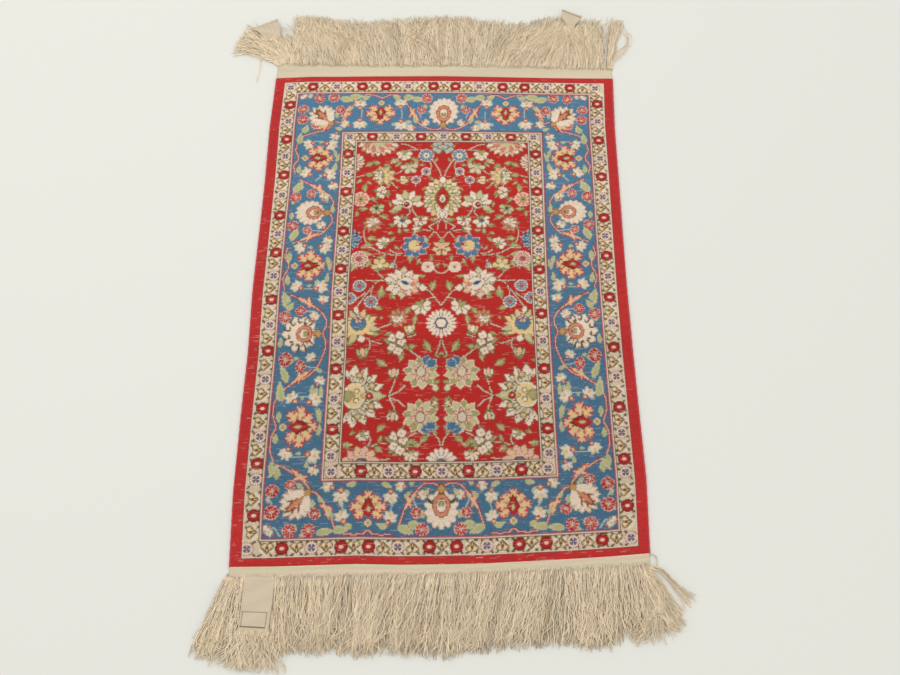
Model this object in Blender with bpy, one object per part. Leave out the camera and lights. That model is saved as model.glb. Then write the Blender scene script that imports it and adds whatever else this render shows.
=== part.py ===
"""A small silk rug lying flat with its back upwards: a knotted panel, and a fringed web at each end.

Metres, +Z up. The origin is on the floor under the middle of the knotted panel. +Y runs along the
rug towards its far end, and +X across it. Tables are in millimetres, and MM turns them into metres.
"""

import math

import bmesh
import bpy
import numpy as np

MM = 0.001

# Driving sizes
PANEL_THICK = 3.0 * MM       # knotted cloth, pile and back together
WEB_THICK = 1.2 * MM         # flat-woven web at each end
PARTING_GAP = 0.3 * MM       # between the panel and each web
PANEL_COLUMNS = 14
PANEL_ROWS = 18
LOCK_PITCH = 4.15 * MM       # fringe locks along the web
LOCK_WIDTH = 2.7 * MM        # at the root
LOCK_HEIGHT = 2.4 * MM
LOCK_STEPS = (0.17, 0.42, 0.70, 1.0)
WIDEST_LOCK = 6.5 * MM       # where a corner's locks fan out
TIP_TAPER = 0.6              # a lock's tip against its root
CROWDING = 0.66              # a lock's width against the room between its neighbours
SWEEP = 1.35                 # a lock leaves the web straight, then leans over to its tip
WAVE = 1.2 * MM
WAVE_LENGTH = 62.0 * MM      # along the web, from one lean of the waves to the next
WAVES_PER_LOCK = 1.4
RAGGED = 2.5 * MM            # locks end a little short of their line, or past it
RAGGED_TURN = 2.4            # radians from one lock to the next

# The knotted panel's long edges. along: from its near end, 0, to its far end, 1.
SIDES = (
    # along, left x, right x
    (0.000, -247.0, 244.5),
    (0.125, -251.5, 247.5),
    (0.250, -252.0, 246.0),
    (0.375, -251.5, 244.5),
    (0.500, -254.0, 244.0),
    (0.625, -253.5, 244.5),
    (0.750, -253.0, 245.5),
    (0.875, -254.5, 246.0),
    (1.000, -252.5, 249.5),
)

# The ends of the panel and of the webs. across: from the left edge, 0, to the right edge, 1.
ENDS = (
    # across, near web end y, near panel end y, far panel end y, far web end y
    (0.00, -380.5, -368.5, 353.5, 383.5),
    (0.10, -379.5, -367.5, 357.5, 383.0),
    (0.20, -378.5, -365.5, 359.0, 383.5),
    (0.30, -377.0, -363.5, 361.0, 384.0),
    (0.40, -376.0, -364.0, 362.5, 385.0),
    (0.50, -374.5, -363.0, 364.0, 386.5),
    (0.60, -372.5, -361.5, 364.0, 387.0),
    (0.70, -370.0, -358.5, 364.0, 387.0),
    (0.80, -367.0, -355.5, 364.0, 386.5),
    (0.90, -364.0, -352.0, 364.5, 386.0),
    (1.00, -361.0, -347.5, 365.5, 385.0),
)

# Where the fringe's locks end. Between two rows the tips follow a straight line.
FAR_TIPS = (
    # root x, tip x, tip y
    (-250.5, -302.0, 404.0),
    (-246.5, -313.0, 415.0),
    (-242.5, -320.0, 428.0),
    (-238.5, -318.0, 441.0),
    (-222.0, -233.0, 479.0),
    (-200.0, -205.0, 480.0),
    (-150.0, -152.0, 478.0),
    (-100.0, -100.0, 476.0),
    (-50.0, -52.0, 482.0),
    (0.0, 0.0, 487.0),
    (30.0, 31.0, 487.0),
    (60.0, 60.0, 479.0),
    (100.0, 101.0, 475.0),
    (130.0, 131.0, 488.0),
    (160.0, 160.0, 491.0),
    (170.0, 169.0, 489.0),
    (174.0, 172.0, 467.0),
    (193.0, 183.0, 462.0),
    (212.0, 214.5, 464.0),
    (216.0, 224.0, 488.0),
    (230.0, 240.0, 486.0),
    (240.0, 257.0, 483.0),
    (246.0, 271.0, 479.0),
)
NEAR_TIPS = (
    # root x, tip x, tip y
    (-245.0, -284.0, -448.0),
    (-240.0, -274.0, -463.0),
    (-236.0, -263.0, -471.0),
    (-232.0, -253.0, -473.0),
    (-190.0, -189.0, -471.0),
    (-150.0, -152.0, -466.0),
    (-100.0, -101.0, -468.0),
    (-50.0, -50.0, -466.0),
    (0.0, -2.0, -470.0),
    (50.0, 48.0, -463.0),
    (100.0, 99.0, -458.0),
    (150.0, 150.0, -457.0),
    (200.0, 203.0, -459.0),
    (218.0, 228.0, -453.0),
    (230.0, 250.0, -445.0),
    (235.0, 268.0, -436.0),
    (238.0, 281.0, -424.0),
    (242.0, 292.0, -408.0),
)

# Woven tabs: bands of the fringe's own threads, woven together again. Each is a run of stations
# from its root on the web to its free edge. turn: degrees from straight out, towards -X at both ends.
FAR_LEFT_TAB = (
    # x, y, width, turn
    (-230.5, 0.0, 11.0, 0.0),
    (-238.0, 403.0, 10.0, 32.0),
    (-254.0, 427.0, 14.0, 30.0),
    (-266.0, 439.0, 34.0, 29.0),
    (-279.0, 460.0, 36.0, 29.0),
)
FAR_RIGHT_TAB = (
    # x, y, width, turn
    (203.0, 0.0, 13.0, 0.0),
    (201.0, 415.0, 9.0, 5.0),
    (197.0, 455.0, 10.0, 8.0),
    (197.0, 471.0, 30.0, -12.0),
    (196.0, 496.0, 33.0, -17.0),
)
NEAR_LEFT_TAB = (
    # x, y, width, turn
    (-211.5, 0.0, 33.0, 0.0),
    (-213.5, -410.0, 33.0, 4.0),
    (-217.0, -442.0, 34.0, 5.0),
)
TAB_LOCKS = 8                # locks on the near tab's free edge
TAB_LOCK_LENGTH = 34.0 * MM
TAB_LOCK_SHARE = 0.62        # of the tab's edge that its locks take
TAB_LOCK_STEPS = ((0.35, 1.0), (1.0, 1.25))     # share of the length, spread of the locks

RED = (0.55, 0.02, 0.03)
BEIGE = (0.62, 0.52, 0.36)


def clear_scene():
    for old in list(bpy.data.objects):
        bpy.data.objects.remove(old)


def matte(name, colour, roughness):
    """A plain cloth material."""
    made = bpy.data.materials.new(name)
    made.use_nodes = True
    shader = made.node_tree.nodes["Principled BSDF"]
    shader.inputs["Base Color"].default_value = (*colour, 1.0)
    shader.inputs["Roughness"].default_value = roughness
    shader.inputs["Metallic"].default_value = 0.0
    made.diffuse_color = (*colour, 1.0)
    return made


def add_object(name, bm, material, collection):
    bmesh.ops.recalc_face_normals(bm, faces=bm.faces)
    mesh = bpy.data.meshes.new(name)
    bm.to_mesh(mesh)
    bm.free()
    mesh.materials.append(material)
    made = bpy.data.objects.new(name, mesh)
    collection.objects.link(made)
    return made


def side_x(along, column):
    """An edge of the panel: column 1 is the left edge, column 2 the right one."""
    rows = np.array(SIDES)
    return float(np.interp(along, rows[:, 0], rows[:, column])) * MM


def end_y(across, column):
    """An end line: columns 1 to 4 run from the near web's end to the far web's end."""
    rows = np.array(ENDS)
    return float(np.interp(across, rows[:, 0], rows[:, column])) * MM


def panel_point(across, along):
    """A point of the panel between its four uneven edges."""
    left = side_x(along, 1)
    right = side_x(along, 2)
    near = end_y(across, 2)
    far = end_y(across, 3)
    return left + (right - left) * across, near + (far - near) * along


def build_panel(collection, material):
    """The knotted panel: one slab with the rug's own uneven outline."""
    bm = bmesh.new()
    bmesh.ops.create_grid(bm, x_segments=PANEL_COLUMNS, y_segments=PANEL_ROWS, size=0.5)
    for vert in bm.verts:
        x, y = panel_point(vert.co.x + 0.5, vert.co.y + 0.5)
        vert.co = (x, y, 0.0)
    thicken(bm, PANEL_THICK)
    return add_object("knotted_panel", bm, material, collection)


def thicken(bm, height):
    """Turns the flat faces of bm into a slab that stands on them."""
    raised = bmesh.ops.extrude_face_region(bm, geom=list(bm.faces), use_keep_orig=True)
    tops = [item for item in raised["geom"] if isinstance(item, bmesh.types.BMVert)]
    bmesh.ops.translate(bm, verts=tops, vec=(0.0, 0.0, height))


def web_edge(side, x, outer):
    """The web's y at x. side is 1 at the far end and -1 at the near end."""
    corner = 1.0 if side > 0 else 0.0
    left = side_x(corner, 1)
    right = side_x(corner, 2)
    across = (x - left) / (right - left)
    if outer:
        return end_y(across, 4 if side > 0 else 1)
    return end_y(across, 3 if side > 0 else 2) + side * PARTING_GAP


def lock_run(root, tip, web_y):
    """Centre points of one lock, from its first step to its tip."""
    points = []
    phase = 2.0 * math.pi * root / WAVE_LENGTH
    for step in LOCK_STEPS:
        lean = (tip[0] - root) * step ** SWEEP
        wave = WAVE * step * math.sin(phase + 2.0 * math.pi * WAVES_PER_LOCK * step)
        points.append((root + lean + wave, web_y + (tip[1] - web_y) * step))
    return points


def lock_roots(first, last, tabs):
    """Evenly spread roots between two x values, but for the stretches that the tabs take."""
    count = int((last - first) / LOCK_PITCH) + 1
    roots = []
    for index in range(count):
        x = first + index * (last - first) / (count - 1)
        clear = True
        for tab in tabs:
            middle = tab[0][0] * MM
            reach = (tab[0][2] * MM + LOCK_PITCH) / 2.0
            clear = clear and abs(x - middle) > reach
        if clear:
            roots.append(x)
    return roots


def run_locks(side, tips, tabs):
    """Every lock of a fringe as (root x, list of (x, y, width, turn))."""
    table = np.array(tips) * MM
    roots = lock_roots(table[0, 0], table[-1, 0], tabs)
    lines = []
    for index, root in enumerate(roots):
        tip = [float(np.interp(root, table[:, 0], table[:, col])) for col in (1, 2)]
        tip[1] += side * RAGGED * math.sin(index * RAGGED_TURN)
        web_y = web_edge(side, root, True)
        lines.append([(root, web_y)] + lock_run(root, tip, web_y))
    locks = []
    for index, line in enumerate(lines):
        stations = []
        for step in range(1, len(line)):
            dx = line[step][0] - line[step - 1][0]
            dy = line[step][1] - line[step - 1][1]
            turn = math.atan2(-dx, side * dy)
            room = room_beside(lines, index, step, dx, dy)
            taper = 1.0 - (1.0 - TIP_TAPER) * LOCK_STEPS[step - 1] ** 3
            width = min(WIDEST_LOCK, CROWDING * room) * taper
            stations.append((*line[step], width, LOCK_HEIGHT * taper, turn))
        locks.append((line[0][0], LOCK_WIDTH, stations))
    return locks


def room_beside(lines, index, step, dx, dy):
    """The distance from a lock's point to the nearer neighbouring lock, across the lock's run.

    A lock beside a woven tab keeps its root's width there.
    """
    length = math.hypot(dx, dy)
    here = lines[index][step]
    room = WIDEST_LOCK / CROWDING
    for other in (index - 1, index + 1):
        if 0 <= other < len(lines):
            if abs(lines[other][0][0] - lines[index][0][0]) > 1.5 * LOCK_PITCH:
                room = min(room, LOCK_WIDTH / CROWDING)
                continue
            there = lines[other][step]
            across = abs((there[0] - here[0]) * dy - (there[1] - here[1]) * dx) / length
            room = min(room, across)
    return room


def tab_run(tab):
    """A woven tab in the same form as a lock, only wide and thin."""
    stations = [
        (x * MM, y * MM, width * MM, WEB_THICK, math.radians(turn)) for x, y, width, turn in tab[1:]
    ]
    return tab[0][0] * MM, tab[0][2] * MM, stations


def move_end(face, station, side):
    """Puts a lock's newest end face across its run, standing on the floor."""
    x, y, width, height, turn = station
    middle = face.calc_center_median()
    along_x = math.cos(turn)
    along_y = math.sin(turn) * side
    for vert in face.verts:
        reach = width / 2.0 if vert.co.x > middle.x else -width / 2.0
        top = height if vert.co.z > middle.z else 0.0
        vert.co = (x + reach * along_x, y + reach * along_y, top)


def build_fringe(side, tips, tabs):
    """A flat-woven web with the fringe's locks growing out of its free edge."""
    corner = 1.0 if side > 0 else 0.0
    left = side_x(corner, 1)
    right = side_x(corner, 2)
    locks = run_locks(side, tips, tabs) + [tab_run(tab) for tab in tabs]
    locks.sort()
    cuts = [left]
    for root, width, _ in locks:
        cuts += [root - width / 2.0, root + width / 2.0]
    cuts.append(right)
    bm = bmesh.new()
    bmesh.ops.create_grid(bm, x_segments=len(cuts) - 1, y_segments=1, size=0.5)
    for vert in bm.verts:
        column = round((vert.co.x + 0.5) * (len(cuts) - 1))
        outer = (vert.co.y > 0.0) == (side > 0)
        x = cuts[column]
        vert.co = (x, web_edge(side, x, outer), 0.0)
    thicken(bm, WEB_THICK)
    for lock, face in zip(locks, root_faces(bm, side)):
        for station in lock[2]:
            face = bmesh.ops.extrude_discrete_faces(bm, faces=[face])["faces"][0]
            move_end(face, station, side)
    return bm


def root_faces(bm, side):
    """The faces on the web's free edge that the locks grow from, from left to right."""
    walls = []
    for face in bm.faces:
        level = abs(face.calc_center_median().z - WEB_THICK / 2.0) < WEB_THICK / 4.0
        face.normal_update()
        if level and abs(face.normal.y) > 0.5:
            middle = face.calc_center_median()
            if abs(middle.y - web_edge(side, middle.x, True)) < 1.0 * MM:
                walls.append(face)
    walls.sort(key=lambda face: face.calc_center_median().x)
    return walls[1::2]


def add_tab_locks(bm, tab, side):
    """Free threads below the near tab: short locks from its last edge."""
    x, y, width, turn = tab[-1]
    x, y, width, turn = x * MM, y * MM, width * MM, math.radians(turn)
    ends = [
        face for face in bm.faces
        if math.hypot(face.calc_center_median().x - x, face.calc_center_median().y - y) < 0.2 * MM
        and abs(face.calc_center_median().z - WEB_THICK / 2.0) < WEB_THICK / 4.0
    ]
    end = ends[0]
    long_edges = [edge for edge in end.edges if edge.calc_length() > width / 2.0]
    bmesh.ops.subdivide_edges(bm, edges=long_edges, cuts=2 * TAB_LOCKS, use_grid_fill=True)
    direction = (-math.sin(turn), math.cos(turn) * side)
    across = (math.cos(turn), math.sin(turn) * side)
    slices = []
    for face in bm.faces:
        middle = face.calc_center_median()
        out = (middle.x - x) * direction[0] + (middle.y - y) * direction[1]
        off = (middle.x - x) * across[0] + (middle.y - y) * across[1]
        level = abs(middle.z - WEB_THICK / 2.0) < WEB_THICK / 4.0
        if abs(out) < 0.05 * MM and abs(off) < width / 2.0 and level:
            slices.append((off, face))
    slices.sort(key=lambda item: item[0])
    pitch = width / TAB_LOCKS
    for off, face in slices[1::2]:
        for share, spread in TAB_LOCK_STEPS:
            face = bmesh.ops.extrude_discrete_faces(bm, faces=[face])["faces"][0]
            reach = TAB_LOCK_LENGTH * share
            place = off * spread
            px = x + direction[0] * reach + across[0] * place
            py = y + direction[1] * reach + across[1] * place
            taper = 1.0 - (1.0 - TIP_TAPER) * share ** 3
            wide = TAB_LOCK_SHARE * pitch * spread * taper
            move_end(face, (px, py, wide, LOCK_HEIGHT * taper, turn), side)


def main():
    clear_scene()
    collection = bpy.data.collections.new("silk_rug")
    bpy.context.scene.collection.children.link(collection)
    red_silk = matte("knotted_silk", RED, 0.75)
    bare_thread = matte("bare_thread", BEIGE, 0.85)
    build_panel(collection, red_silk)
    far = build_fringe(1, FAR_TIPS, (FAR_LEFT_TAB, FAR_RIGHT_TAB))
    add_object("fringe_far", far, bare_thread, collection)
    near = build_fringe(-1, NEAR_TIPS, (NEAR_LEFT_TAB,))
    add_tab_locks(near, NEAR_LEFT_TAB, -1)
    add_object("fringe_near", near, bare_thread, collection)


main()
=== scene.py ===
# %% [markdown]
# # A knotted silk rug, seen from its back
#
# A small silk rug lies with its pile down, so what shows is the back of the knots. Every
# knot there is one small dot of colour, and the dots lie in rows, as in a chart on squared
# paper. Below, the rug is made the same way: a grid with one face for each knot, and a
# chart that says which dye each knot is tied in.
#
# The first step loads the model of the rug's solids. They say where everything lies, and
# nothing here may grow far past them. They say where everything lies, and the height of
# the knots' back is read from them.

# %% The frame
import math

import bmesh
import bpy
import numpy as np
from mathutils import Matrix, Vector


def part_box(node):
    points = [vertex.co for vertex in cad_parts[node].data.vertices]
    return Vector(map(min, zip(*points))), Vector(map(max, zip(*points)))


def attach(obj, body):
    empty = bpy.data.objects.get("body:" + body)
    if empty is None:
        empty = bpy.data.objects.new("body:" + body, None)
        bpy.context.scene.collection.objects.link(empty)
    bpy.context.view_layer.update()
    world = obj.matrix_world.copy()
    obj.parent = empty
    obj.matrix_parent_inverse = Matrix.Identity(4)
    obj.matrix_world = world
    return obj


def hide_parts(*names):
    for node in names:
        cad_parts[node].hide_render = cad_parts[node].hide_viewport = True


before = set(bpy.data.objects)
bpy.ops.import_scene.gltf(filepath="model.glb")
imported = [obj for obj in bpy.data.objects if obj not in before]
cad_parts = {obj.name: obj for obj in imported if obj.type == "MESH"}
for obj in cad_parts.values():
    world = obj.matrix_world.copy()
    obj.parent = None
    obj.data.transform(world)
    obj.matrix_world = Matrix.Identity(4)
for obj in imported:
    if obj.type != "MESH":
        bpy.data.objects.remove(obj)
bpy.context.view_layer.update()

MM = 0.001
BACK_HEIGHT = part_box("knotted_panel")[1][2]     # the knots' back lies this far above the floor

# %% [markdown]
# ## Camera, floor and light
#
# The rug is looked at from above its near end. A pinhole camera is only a place, three
# angles and a focal length. The floor is plain and pale, and nearly all of the light comes
# from a white sky, as in a bright studio: flat cloth needs no hard light, because its
# colours are what there is to see. One big lamp at the far left gives threads a soft side.

# %% Helpers for objects, colours and materials
def place(data, name):
    """A new object for a mesh, curve, camera or lamp, linked to the scene."""
    made = bpy.data.objects.new(name, data)
    bpy.context.collection.objects.link(made)
    return made


def mesh_from(shape, name):
    """A mesh from a bmesh, which is freed."""
    mesh = bpy.data.meshes.new(name)
    shape.to_mesh(mesh)
    shape.free()
    return mesh


def linear(colour):
    """A colour of 0 to 255 on a screen, as the linear one that a shader takes."""
    channels = [value / 255 for value in colour]
    curve = [((c + 0.055) / 1.055) ** 2.4 if c > 0.04045 else c / 12.92 for c in channels]
    return (*curve, 1.0)


def new_material(name):
    """A material, its node tree and its shader."""
    material = bpy.data.materials.new(name)
    material.use_nodes = True
    return material, material.node_tree, material.node_tree.nodes["Principled BSDF"]


print("helpers ready")

# %% Camera
CAMERA_PLACE = Vector((-0.0161, -0.6051, 1.1216))
LOOKING_DOWN = math.radians(64.394)
TURNED_RIGHT = math.radians(2.516)
ROLLED = math.radians(3.094)
FOCAL_LENGTH = 38.18            # millimetres
SENSOR_WIDTH = 36.0             # millimetres

forward = Vector((
    math.sin(TURNED_RIGHT) * math.cos(LOOKING_DOWN),
    math.cos(TURNED_RIGHT) * math.cos(LOOKING_DOWN),
    -math.sin(LOOKING_DOWN),
))
level_right = Vector((math.cos(TURNED_RIGHT), -math.sin(TURNED_RIGHT), 0.0))
level_up = level_right.cross(forward)
right = level_right * math.cos(ROLLED) + level_up * math.sin(ROLLED)
up = level_up * math.cos(ROLLED) - level_right * math.sin(ROLLED)

lens = bpy.data.cameras.new("camera")
lens.lens = FOCAL_LENGTH
lens.sensor_width = SENSOR_WIDTH
lens.clip_start = 0.01
camera = place(lens, "camera")
turned = Matrix((right, up, -forward)).transposed().to_4x4()
camera.matrix_world = Matrix.Translation(CAMERA_PLACE) @ turned
bpy.context.scene.camera = camera
print("camera looks along", tuple(forward))


# %% Floor
FLOOR_HALF = 6.0                # metres

pale_floor, _, floor_shader = new_material("pale_floor")
floor_shader.inputs["Base Color"].default_value = linear((229, 229, 222))
floor_shader.inputs["Roughness"].default_value = 0.45
floor_shader.inputs["Specular IOR Level"].default_value = 0.25

shape = bmesh.new()
bmesh.ops.create_grid(shape, x_segments=1, y_segments=1, size=FLOOR_HALF)
floor_mesh = mesh_from(shape, "floor")
floor_mesh.materials.append(pale_floor)
floor = place(floor_mesh, "floor")
print("floor made")

# %% Light
SKY_COLOUR = (1.0, 0.995, 0.98, 1.0)
SKY_STRENGTH = 0.93
LAMP_PLACE = (-0.9, 1.2, 2.0)
LAMP_WATTS = 9.0

sky = bpy.data.worlds.new("studio")
sky.use_nodes = True
background = sky.node_tree.nodes["Background"]
background.inputs["Color"].default_value = SKY_COLOUR
background.inputs["Strength"].default_value = SKY_STRENGTH
bpy.context.scene.world = sky

lamp_data = bpy.data.lights.new("window", "AREA")
lamp_data.shape = "RECTANGLE"
lamp_data.size = 2.2
lamp_data.size_y = 1.6
lamp_data.energy = LAMP_WATTS
lamp = place(lamp_data, "window")
lamp.location = LAMP_PLACE
lamp.rotation_mode = "QUATERNION"
lamp.rotation_quaternion = (-Vector(lamp.location)).to_track_quat("-Z", "Y")

bpy.context.scene.view_settings.view_transform = "Standard"
print("light made")

# %% [markdown]
# ## The rug's outline
#
# A handmade rug is never a true rectangle. The loom's tension changes as the work goes up,
# so the sides wander by a few millimetres and one end is longer than the other. Two short
# tables say where the sides and the ends lie, and a function blends them: it turns a place
# counted in knots into a place on the floor. Everything else is built on that function.

# %% Outline
ACROSS = 400                    # knots from the left side to the right one
ALONG = 584                     # rows of knots from the near end to the far one

# share of the length, left side x, right side x, in millimetres
SIDES = np.array((
    (0.000, -247.0, 244.5),
    (0.125, -251.5, 247.5),
    (0.250, -252.0, 246.0),
    (0.375, -251.5, 244.5),
    (0.500, -254.0, 244.0),
    (0.625, -253.5, 244.5),
    (0.750, -253.0, 245.5),
    (0.875, -254.5, 246.0),
    (1.000, -252.5, 249.5),
))
# share of the width, near web's edge y, near row of knots y, far row y, far web's edge y
ENDS = np.array((
    (0.0, -380.5, -368.5, 353.5, 383.5),
    (0.1, -379.5, -367.5, 357.5, 383.0),
    (0.2, -378.5, -365.5, 359.0, 383.5),
    (0.3, -377.0, -363.5, 361.0, 384.0),
    (0.4, -376.0, -364.0, 362.5, 385.0),
    (0.5, -374.5, -363.0, 364.0, 386.5),
    (0.6, -372.5, -361.5, 364.0, 387.0),
    (0.7, -370.0, -358.5, 364.0, 387.0),
    (0.8, -367.0, -355.5, 364.0, 386.5),
    (0.9, -364.0, -352.0, 364.5, 386.0),
    (1.0, -361.0, -347.5, 365.5, 385.0),
))
SIDE_SHARE, LEFT_X, RIGHT_X = SIDES.T
END_SHARE, NEAR_WEB_Y, NEAR_Y, FAR_Y, FAR_WEB_Y = ENDS.T


def side_x(i, j):
    """Millimetres to the right of the middle, for a place counted in knots."""
    left = np.interp(j / ALONG, SIDE_SHARE, LEFT_X)
    right_side = np.interp(j / ALONG, SIDE_SHARE, RIGHT_X)
    return left + (right_side - left) * i / ACROSS


def rug_point(i, j):
    """A place counted in knots, as x and y in metres."""
    near = np.interp(i / ACROSS, END_SHARE, NEAR_Y)
    far = np.interp(i / ACROSS, END_SHARE, FAR_Y)
    return side_x(i, j) * MM, (near + (far - near) * j / ALONG) * MM


print("the rug is", round(float(side_x(ACROSS, 292) - side_x(0, 292))), "mm wide")

# %% [markdown]
# ## Dyes and the chart
#
# The dyed silks have names, and the chart holds one number for each knot: the number of its
# dye. The chart starts as plain red. Each motif is then worked into it over what is there,
# so a stem goes in first, then the leaf that hides its end, then the flower on top.

# %% Dyes
DYES = {
    "red": (186, 36, 30),
    "crimson": (146, 28, 28),
    "maroon": (100, 28, 26),
    "edging": (189, 36, 33),
    "blue": (75, 116, 143),
    "navy": (50, 76, 104),
    "mist": (182, 190, 182),
    "ivory": (234, 213, 190),
    "ecru": (214, 196, 166),
    "sand": (188, 160, 124),
    "sage": (198, 188, 140),
    "leaf": (164, 156, 102),
    "moss": (178, 178, 126),
    "olive": (114, 96, 60),
    "bark": (80, 60, 38),
    "brown": (130, 80, 46),
    "ochre": (190, 146, 86),
    "yellow": (226, 197, 138),
    "peach": (230, 184, 146),
    "salmon": (212, 132, 102),
    "rose": (184, 90, 88),
    "pink": (228, 178, 158),
    "violet": (108, 78, 112),
    "slate": (92, 92, 110),
}
NUMBER = {name: number for number, name in enumerate(DYES)}
chart = np.full((ALONG, ACROSS), NUMBER["red"], np.uint8)
# how far a weaver's edges stray, in knots, sideways and lengthways
UNEVEN = np.random.default_rng(8).uniform(-0.5, 0.5, (2, ALONG, ACROSS))
print(len(DYES), "dyes for", chart.size, "knots")

# %% [markdown]
# ## Four ways to work a motif
#
# Nearly every flower on the rug comes from four moves. A *patch* is a round or lobed spot.
# A *leaf* starts at its foot and narrows to a tip, with or without teeth. A *line* runs
# smoothly through a few points, as a stem does. A *stitch* is a small repeat written out
# knot by knot in letters, as a weaver's own chart has it. Patches and leaves take a turn in
# degrees, counted to the left from the far end, and a stretch, because rows are packed
# tighter in some parts of the rug than in others. Stitches turn by quarters.

# %% Places around a motif
def around(i, j, reach, turn=0.0, tall=1.0, uneven=1.0):
    """The chart's block about (i, j), and its knots' places in the motif's own frame."""
    first_i = max(int(i - reach) - 1, 0)
    first_j = max(int(j - reach * tall) - 1, 0)
    rows_of_block = slice(first_j, max(int(j + reach * tall) + 2, 0))
    columns_of_block = slice(first_i, max(int(i + reach) + 2, 0))
    block = chart[rows_of_block, columns_of_block]
    rows, columns = block.shape
    x = np.arange(columns) + first_i + 0.5 - i
    y = (np.arange(rows) + first_j + 0.5 - j) / tall
    x, y = np.meshgrid(x, y)
    x = x + uneven * UNEVEN[0, rows_of_block, columns_of_block]
    y = y + uneven * UNEVEN[1, rows_of_block, columns_of_block]
    c = math.cos(math.radians(turn))
    s = math.sin(math.radians(turn))
    return block, x * c + y * s, y * c - x * s


print("places can be found in a motif")

# %% Patch and leaf
def patch(i, j, radius, dye, lobes=0, depth=0.0, sharp=0.0, turn=0.0, tall=1.0, wide=1.0, egg=0.0):
    """A round patch. Lobes are cut in by a share of the radius, and are round or sharp."""
    block, x, y = around(i, j, radius * max(wide, 1.0) * 1.2 + 1, turn, tall, 0.1 + radius / 18)
    x = x / wide
    angle = np.arctan2(x, y)
    crest = np.abs(np.cos(angle * lobes / 2))
    spike = 1 - 2 / np.pi * np.arccos(np.clip(crest, 0, 1))
    edge = 1 - depth * (1 - crest * (1 - sharp) - spike * sharp)
    block[np.hypot(x, y) < radius * edge * (1 + egg * np.cos(angle))] = NUMBER[dye]


def rings(i, j, layers, *shape, **more):
    """Patches of one shape on top of each other, each with its radius and its dye."""
    for radius, dye in layers:
        patch(i, j, radius, dye, *shape, **more)


def leaf(i, j, length, width, dye, turn=0.0, bend=0.0, teeth=0, edge=None, belly=0.45, tall=1.0):
    """A leaf from its foot at (i, j) to its tip. A bend is a share of its length."""
    block, x, y = around(i, j, length + 2, turn, tall, 0.8)
    along = np.clip(y / length, 0, 1)
    off = np.abs(x - bend * length * along * along)
    half = width / 2 * np.sin(np.pi * along ** (math.log(0.5) / math.log(belly)))
    if teeth:
        half = half * (1.1 - 0.5 * (along * teeth % 1))
    if edge:
        block[(off < half + 0.85) & (y > -0.5) & (y < length + 0.8)] = NUMBER[edge]
    block[(off < half) & (y > 0) & (y < length)] = NUMBER[dye]


print("patches and leaves can be worked")

# %% Line
def line(points, dye, width=1.2, edge=None, rim=0.7):
    """A smooth stem through points, with a darker edge on both sides if one is given."""
    points = np.array([points[0], *points, points[-1]], float)
    t = np.arange(0, 1, 0.02)[:, None]
    runs = []
    for a, b, c, d in zip(points, points[1:], points[2:], points[3:]):
        runs.append(b + 0.5 * t * (c - a + t * (2 * a - 5 * b + 4 * c - d + t * (3 * b - a - 3 * c + d))))
    path = np.concatenate(runs)
    core = max(width - 1, 0.0) / 2
    layers = [(dye, core)] if edge is None else [(edge, core + rim), (dye, core)]
    for colour, radius in layers:
        steps = np.arange(-radius, radius + 0.01, 0.35)
        for right_step in steps:
            for up_step in steps:
                if math.hypot(right_step, up_step) <= radius + 0.2:
                    i = np.clip((path[:, 0] + right_step).astype(int), 0, ACROSS - 1)
                    j = np.clip((path[:, 1] + up_step).astype(int), 0, ALONG - 1)
                    chart[j, i] = NUMBER[colour]


print("lines can be worked")

# %% Stitch
NO_KNOT = 255
LETTERS = {
    "o": "olive", "b": "brown", "c": "ivory", "y": "yellow", "h": "ochre", "r": "crimson",
    "p": "pink", "v": "violet", "s": "slate", "e": "ecru", "R": "red", "m": "maroon", "k": "bark",
}


def stitch(i, j, rows, quarters=0):
    """A small repeat from lines of letters, its middle at (i, j). A dot leaves a knot alone."""
    pattern = np.array([[NUMBER[LETTERS[c]] if c in LETTERS else NO_KNOT for c in row] for row in rows])
    pattern = np.rot90(pattern[::-1], quarters)
    height, width = pattern.shape
    first_j = int(round(j - height / 2))
    first_i = int(round(i - width / 2))
    block = chart[first_j:first_j + height, first_i:first_i + width]
    block[pattern != NO_KNOT] = pattern[pattern != NO_KNOT]


print("stitches can be worked with", len(LETTERS), "letters")

# %% [markdown]
# ## Flowers of the blue border
#
# The broad blue border has four kinds of flower. The *wheel* is a small red rosette with
# pale spokes. The *spiked palmette* has seven notched petals about a red diamond. The
# *round palmette* has an ivory fringe of petals about an eye of rings. The *fan* fills the
# corners. Small *bells* hang from the vine, and barbed *thorns* lie along it. Each is its own
# function, so a flower can be moved or turned by its numbers.

# %% Wheel
def beyond(i, j, distance, turn, tall=1.0):
    """The place at a distance from (i, j), in the direction of a turn."""
    a = math.radians(turn)
    return i - distance * math.sin(a), j + distance * math.cos(a) * tall


def spokes(i, j, inner, outer, count, dye, width=0.9, turn=0.0, tall=1.0):
    """Straight spokes about a middle."""
    block, x, y = around(i, j, outer + 1, turn, tall, 0.2)
    reach = np.hypot(x, y)
    step = 2 * np.pi / count
    swing = (np.arctan2(x, y) + step / 2) % step - step / 2
    block[(reach * np.abs(np.sin(swing)) < width / 2) & (reach > inner) & (reach < outer)] = NUMBER[dye]


def wheel(i, j, radius, tall=1.0):
    """A red rosette with pale spokes and a pale rim."""
    count = 8 if radius < 5.9 else 10
    patch(i, j, radius + 0.6, "pink", 2 * count, 0.14, tall=tall)
    patch(i, j, radius - 0.2, "red", 2 * count, 0.08, tall=tall)
    spokes(i, j, 1.0, radius, count, "pink", 0.6, 12, tall)
    spokes(i, j, 2.4, radius - 1.2, count, "crimson", 0.8, 12 + 180 / count, tall)
    patch(i, j, 1.2, "mist", tall=tall)


print("wheel ready")

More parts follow.
